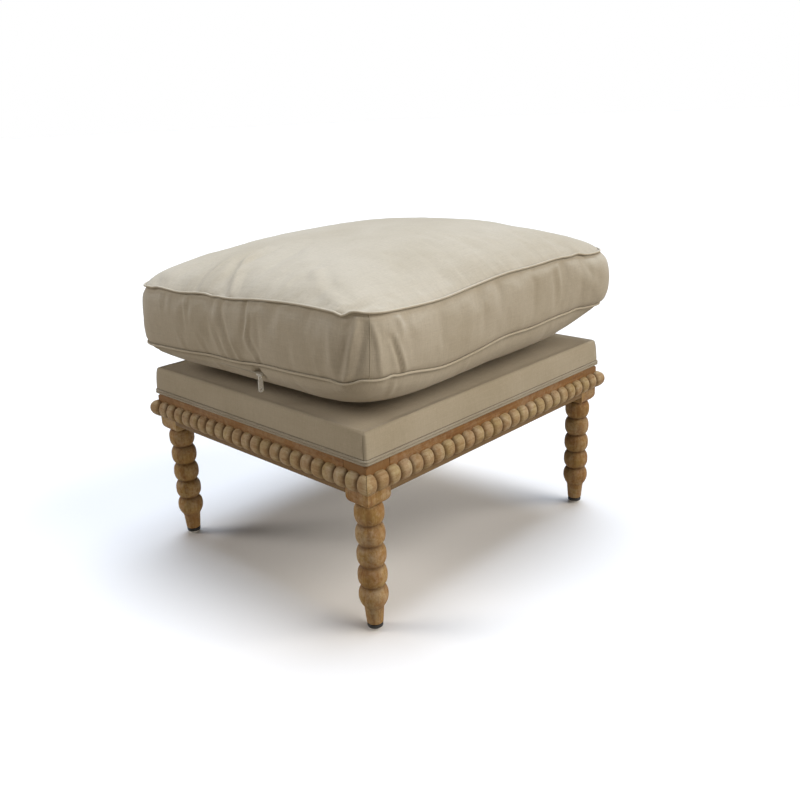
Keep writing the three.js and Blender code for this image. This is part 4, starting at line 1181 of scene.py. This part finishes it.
def stroke(points, line, width, aspect=(1.0, 1.0)):
    """How strongly each point lies on a soft line, 0 to 1, fading at the line's two ends."""
    scale = np.array(aspect)
    flat = points * scale
    nodes = np.array(line, float) * scale
    best = np.full(len(flat), np.inf)
    along = np.zeros(len(flat))
    lengths = np.linalg.norm(np.diff(nodes, axis=0), axis=1)
    total, done = lengths.sum(), 0.0
    for first, second, length in zip(nodes, nodes[1:], lengths):
        share = np.clip(((flat - first) @ (second - first)) / length ** 2, 0, 1)
        gap = np.linalg.norm(flat - first - share[:, None] * (second - first), axis=1)
        nearer = gap < best
        best[nearer] = gap[nearer]
        along[nearer] = (done + share[nearer] * length) / total
        done += length
    fade = np.sin(math.pi * np.clip(0.12 + 0.76 * along, 0, 1)) ** 0.6
    return np.exp(-(best / width) ** 2) * fade


def seam_distance(places, loops):
    """How far each place is from the nearer of some closed loops of points."""
    finer = np.arange(SEAM_SPLIT)[:, None, None] / SEAM_SPLIT
    dots = [(1 - finer) * loop + finer * np.roll(loop, -1, axis=0) for loop in loops]
    dots = np.concatenate([dense.reshape(-1, 3) for dense in dots])
    tree = KDTree(len(dots))
    for index, dot in enumerate(dots):
        tree.insert(dot, index)
    tree.balance()
    return np.array([tree.find(place)[2] for place in places])


def crease_cushion(mesh, half_x, half_y, rings, floor):
    """Presses the drawn creases into the cover, each along the surface's normal."""
    count = len(mesh.vertices)
    places, normals = np.empty(count * 3), np.empty(count * 3)
    mesh.vertices.foreach_get("co", places)
    mesh.vertices.foreach_get("normal", normals)
    places, normals = places.reshape(-1, 3), normals.reshape(-1, 3)
    rings = np.asarray(rings)
    low, high = rings[0], rings[-1]
    nearest = np.empty(count, int)
    for first in range(0, count, BLOCK):
        block = places[first:first + BLOCK, None, :2] - low[None, :, :2]
        nearest[first:first + BLOCK] = (block ** 2).sum(axis=2).argmin(axis=1)
    height = (places[:, 2] - low[nearest, 2]) / (high[nearest, 2] - low[nearest, 2])
    edge_gap = np.sqrt(((places[:, :2] - low[nearest, :2]) ** 2).sum(axis=1))
    boxing = (abs(normals[:, 2]) < BOXING_TILT) & (height > -0.01) & (height < 1.01)
    boxing &= edge_gap < BOXING_DEPTH * MM
    # The two panels' own slopes beside the seams are no part of the boxing
    boxing &= (height > 0.06) | (normals[:, 2] > -0.55)
    boxing &= (height < 0.94) | (normals[:, 2] < 0.45)
    top = ~boxing & (normals[:, 2] > 0)
    under = ~boxing & (normals[:, 2] <= 0)
    push = np.zeros(count)
    along = along_outline(places[:, 0], places[:, 1], half_x, half_y)
    side = np.column_stack([along, height])
    for depth, width, line in BOXING_CREASES:
        near = boxing & (abs(along - np.mean([p[0] for p in line])) < CREASE_SPAN)
        push[near] += CREASE_GAIN * depth * stroke(side[near], line, width, (1, BOXING_HEIGHT))
    flat = places[:, :2] / MM
    for region, table in ((top, TOP_CREASES), (under, UNDER_CREASES)):
        for depth, width, line in table:
            push[region] += depth * stroke(flat[region], line, width)
    closed = under & (places[:, 1] > ZIP_BEGIN * MM)
    for rise, away, width in ZIP_LIPS:
        lip = rise * np.exp(-((edge_gap / MM - ZIP_INSET - away) / width) ** 2)
        push[closed] += lip[closed]
    slider = (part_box("zip_slider")[0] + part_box("zip_slider")[1]) / 2 / MM
    pocket = ((flat[:, 0] - slider.x) / POCKET_HALF[0]) ** 2
    pocket = pocket + ((flat[:, 1] - slider.y) / POCKET_HALF[1]) ** 2
    push[under] -= POCKET_DEPTH * np.exp(-pocket[under] ** 2)
    beside = seam_distance(places, (low, high))
    rim = np.clip(beside / (RIM_REACH * MM), 0, 1)
    large, small = CRUMPLE_SIZES
    crumple = np.array([noise.noise(Vector(p) * large) + 0.5 * noise.noise(Vector(p) * small)
                        for p in places])
    push += CRUMPLE * crumple
    places = places + normals * (push * rim * MM)[:, None]
    resting = under & (places[:, 2] < floor + RESTING * MM)
    places[resting, 2] = np.maximum(places[resting, 2], floor)
    mesh.vertices.foreach_set("co", places.ravel())
    # Painted shade on the cover beside the seams and piping
    set_cavity(mesh, np.exp(-(beside / (SEAM_SHADE_REACH * MM)) ** 2))
    mesh.update()


def boxing_seam(name, spine, direction, surface):
    """The boxing's joining seam at a corner: a thin rolled line from piping to piping."""
    away = Vector((*direction, 0))
    side = np.array([-direction[1], direction[0], 0])
    sections = []
    for point in spine:
        hit = surface.ray_cast(Vector(point) + away * RAY_START * MM, -away)[0] or Vector(point)
        base = np.array(hit)
        sections.append([base + side * (SEAM_WIDTH * MM * a) + np.array(away) * (SEAM_HEIGHT * MM * b)
                         for a, b in SEAM_SECTION])
    points, faces = loft(sections)
    piece(f"boxing_seam_{name}", points, faces, SHADED_SEAM_CLOTH, "cushion", sharp=70)


def flat_plate(name, loops, thickness, edge):
    """A mesh of a flat plate with holes, from closed loops of (x, y), with its edges eased."""
    curve = bpy.data.curves.new(name, "CURVE")
    curve.dimensions, curve.fill_mode = "2D", "BOTH"
    curve.extrude, curve.bevel_depth, curve.bevel_resolution = thickness / 2 - edge, edge, 1
    curve.offset = -edge
    for loop in loops:
        spline = curve.splines.new("POLY")
        spline.points.add(len(loop) - 1)
        spline.points.foreach_set("co", np.array([(x, y, 0, 1) for x, y in loop]).ravel())
        spline.use_cyclic_u = True
    mesh = baked(linked(name, curve))
    bm = bmesh.new()
    bm.from_mesh(mesh)
    bmesh.ops.remove_doubles(bm, verts=bm.verts, dist=1e-6)
    points = np.array([vertex.co for vertex in bm.verts])
    faces = [tuple(vertex.index for vertex in face.verts) for face in bm.faces]
    bm.free()
    bpy.data.meshes.remove(mesh)
    return points, faces


def arc(centre, radius, first, last, steps):
    """Points of (x, y) on an arc, its angles in quarter turns."""
    angles = np.linspace(first, last, steps + 1) * QUARTER
    return [(centre[0] + radius * math.cos(a), centre[1] + radius * math.sin(a)) for a in angles]


def make_zip():
    """The zip's slider with its crown, and the puller that swings on it."""
    repaint("zip_chain", ZIP_TAPE)
    low, high = (np.array(p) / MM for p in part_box("zip_puller"))
    half, tall = (high[0] - low[0]) / 2, high[2] - low[2]
    end = half * 0.8
    outline = arc((-half + end, end), end, 2, 3, 6) + arc((half - end, end), end, 3, 4, 6)
    neck, crest = PULLER_EYE + PULLER_ROUND, tall - PULLER_ROUND
    outline += [(half, tall * 0.68), (neck, tall * 0.76), (neck, tall - 1.2)]
    outline += arc((PULLER_EYE, crest), PULLER_ROUND, 0, 1, 3)
    outline += arc((-PULLER_EYE, crest), PULLER_ROUND, 1, 2, 3)
    outline += [(-neck, tall * 0.76), (-half, tall * 0.68)]
    top, bottom = tall - PULLER_BAR, tall - EYE_BOTTOM
    eye = [(-PULLER_EYE, top), (PULLER_EYE, top), (PULLER_EYE, bottom), (-PULLER_EYE, bottom)]
    tip = arc((0, half * 0.95), TIP_HOLE, 0, 4, 16)[:-1]
    loops = [[(x * MM, y * MM) for x, y in loop] for loop in (outline, eye, tip)]
    flat, faces = flat_plate("puller", loops, (high[1] - low[1]) * MM, PLATE_EDGE * MM)
    centre = (low + high) / 2 * MM
    stood = np.column_stack([flat[:, 0] + centre[0], centre[1] - flat[:, 2], flat[:, 1] + low[2] * MM])
    piece("puller_plate", stood, faces, ZIP_METAL, "zip_puller", ("zip_puller",), sharp=35)

    low, high = (np.array(p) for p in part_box("zip_slider"))
    centre, wide, long = (low + high) / 2, (high[0] - low[0]) / 2, (high[1] - low[1]) / 2
    half_plan = [(wide * 0.62, -long), (wide * 0.8, 0), (wide, long * 0.45), (wide * 0.7, long),
                 (wide * 0.2, long)]
    plan = [(-wide * 0.62, -long), *half_plan, (0, long * 0.7)]
    plan += [(-x, y) for x, y in half_plan[:0:-1]]
    parts = []
    for level in (low[2] + SLIDER_PLATE * MM, high[2] - SLIDER_THICK / 2 * MM):
        plate, plate_faces = flat_plate("slider", [plan], SLIDER_THICK * MM, PLATE_EDGE * MM)
        parts.append((plate + np.array([centre[0], centre[1], level]), plate_faces))
    bridge = []
    broad, thick = BAR_HALF[0] * MM, BAR_HALF[1] * MM
    for step in np.linspace(-1, 1, 13):
        reach = long * 0.62 * math.sin(QUARTER * step)
        drop = low[2] + thick + (SLIDER_PLATE - 0.9) * MM * (1 - math.cos(QUARTER * step)) ** 1.4
        bridge.append([(centre[0] + broad * a, centre[1] + reach, drop + thick * b)
                       for a, b in BAR_SECTION])
    points, faces = joined([*parts, loft(bridge)])
    piece("slider_body", points, faces, ZIP_METAL, "zip_slider", ("zip_slider",), sharp=35)


# Stage


def sun(name, toward, spread, strength, colour):
    """A far soft light that shines from a direction."""
    data = bpy.data.lights.new(name, "SUN")
    data.angle, data.energy, data.color = math.radians(spread), strength, colour
    linked(name, data).rotation_euler = Vector(toward).to_track_quat("Z", "Y").to_euler()


def make_stage():
    """A pale floor, a soft sky that the camera sees as white, and the lights."""
    mesh = bpy.data.meshes.new("floor")
    corners = [(x * FLOOR_REACH, y * FLOOR_REACH, 0) for x, y in ((-1, -1), (1, -1), (1, 1), (-1, 1))]
    mesh.from_pydata(corners, [], [(0, 1, 2, 3)])
    floor = linked("floor", mesh)
    floor.visible_diffuse = False
    material = bpy.data.materials.new("floor_white")
    n = Nodes(material)
    n.put(n.shader, "Base Color", (1, 0.95, 0.89, 1))
    n.put(n.shader, "Roughness", 0.9)
    n.put(n.shader, "Specular IOR Level", 0.0)
    mesh.materials.append(material)
    world = bpy.data.worlds.new("studio")
    n = Nodes(world)
    fill = n.tree.nodes["Background"]
    heading = n.add("ShaderNodeTexCoord").outputs["Generated"]
    height = n.add("ShaderNodeSeparateXYZ", Vector=heading).outputs["Z"]
    level = n.add("ShaderNodeMapRange", Value=height, From_Min=-0.25, From_Max=0.25).outputs[0]
    n.put(fill, "Color", n.mix(level, FROM_BELOW, FROM_ABOVE))
    seen = n.add("ShaderNodeBackground", Color=(1, 1, 1, 1))
    sky = n.add("ShaderNodeMixShader")
    n.put(sky, "0", n.add("ShaderNodeLightPath").outputs["Is Camera Ray"])
    n.put(sky, "1", fill.outputs[0])
    n.put(sky, "2", seen.outputs[0])
    n.put(n.tree.nodes["World Output"], "Surface", sky.outputs[0])
    bpy.context.scene.world = world
    for name, (toward, spread, strength, colour) in LIGHTS.items():
        sun(name, toward, spread, strength, colour)
    bpy.context.scene.view_settings.view_transform = "Standard"


def make_camera():
    """The camera, where the photograph was taken from."""
    data = bpy.data.cameras.new("camera")
    data.lens, data.sensor_width = CAMERA_LENS, CAMERA_SENSOR
    data.shift_x = CAMERA_SHIFT
    camera = linked("camera", data)
    turn_by = (
        Matrix.Rotation(math.radians(-CAMERA_HEADING), 4, "Z")
        @ Matrix.Rotation(QUARTER + math.radians(CAMERA_PITCH), 4, "X")
        @ Matrix.Rotation(math.radians(CAMERA_ROLL), 4, "Z")
    )
    camera.matrix_world = Matrix.Translation(CAMERA_PLACE) @ turn_by
    bpy.context.scene.camera = camera


make_camera()
make_legs()
make_glides()
make_apron()
make_hidden()
make_deck()
make_welt()
make_cushion()
make_zip()
make_stage()
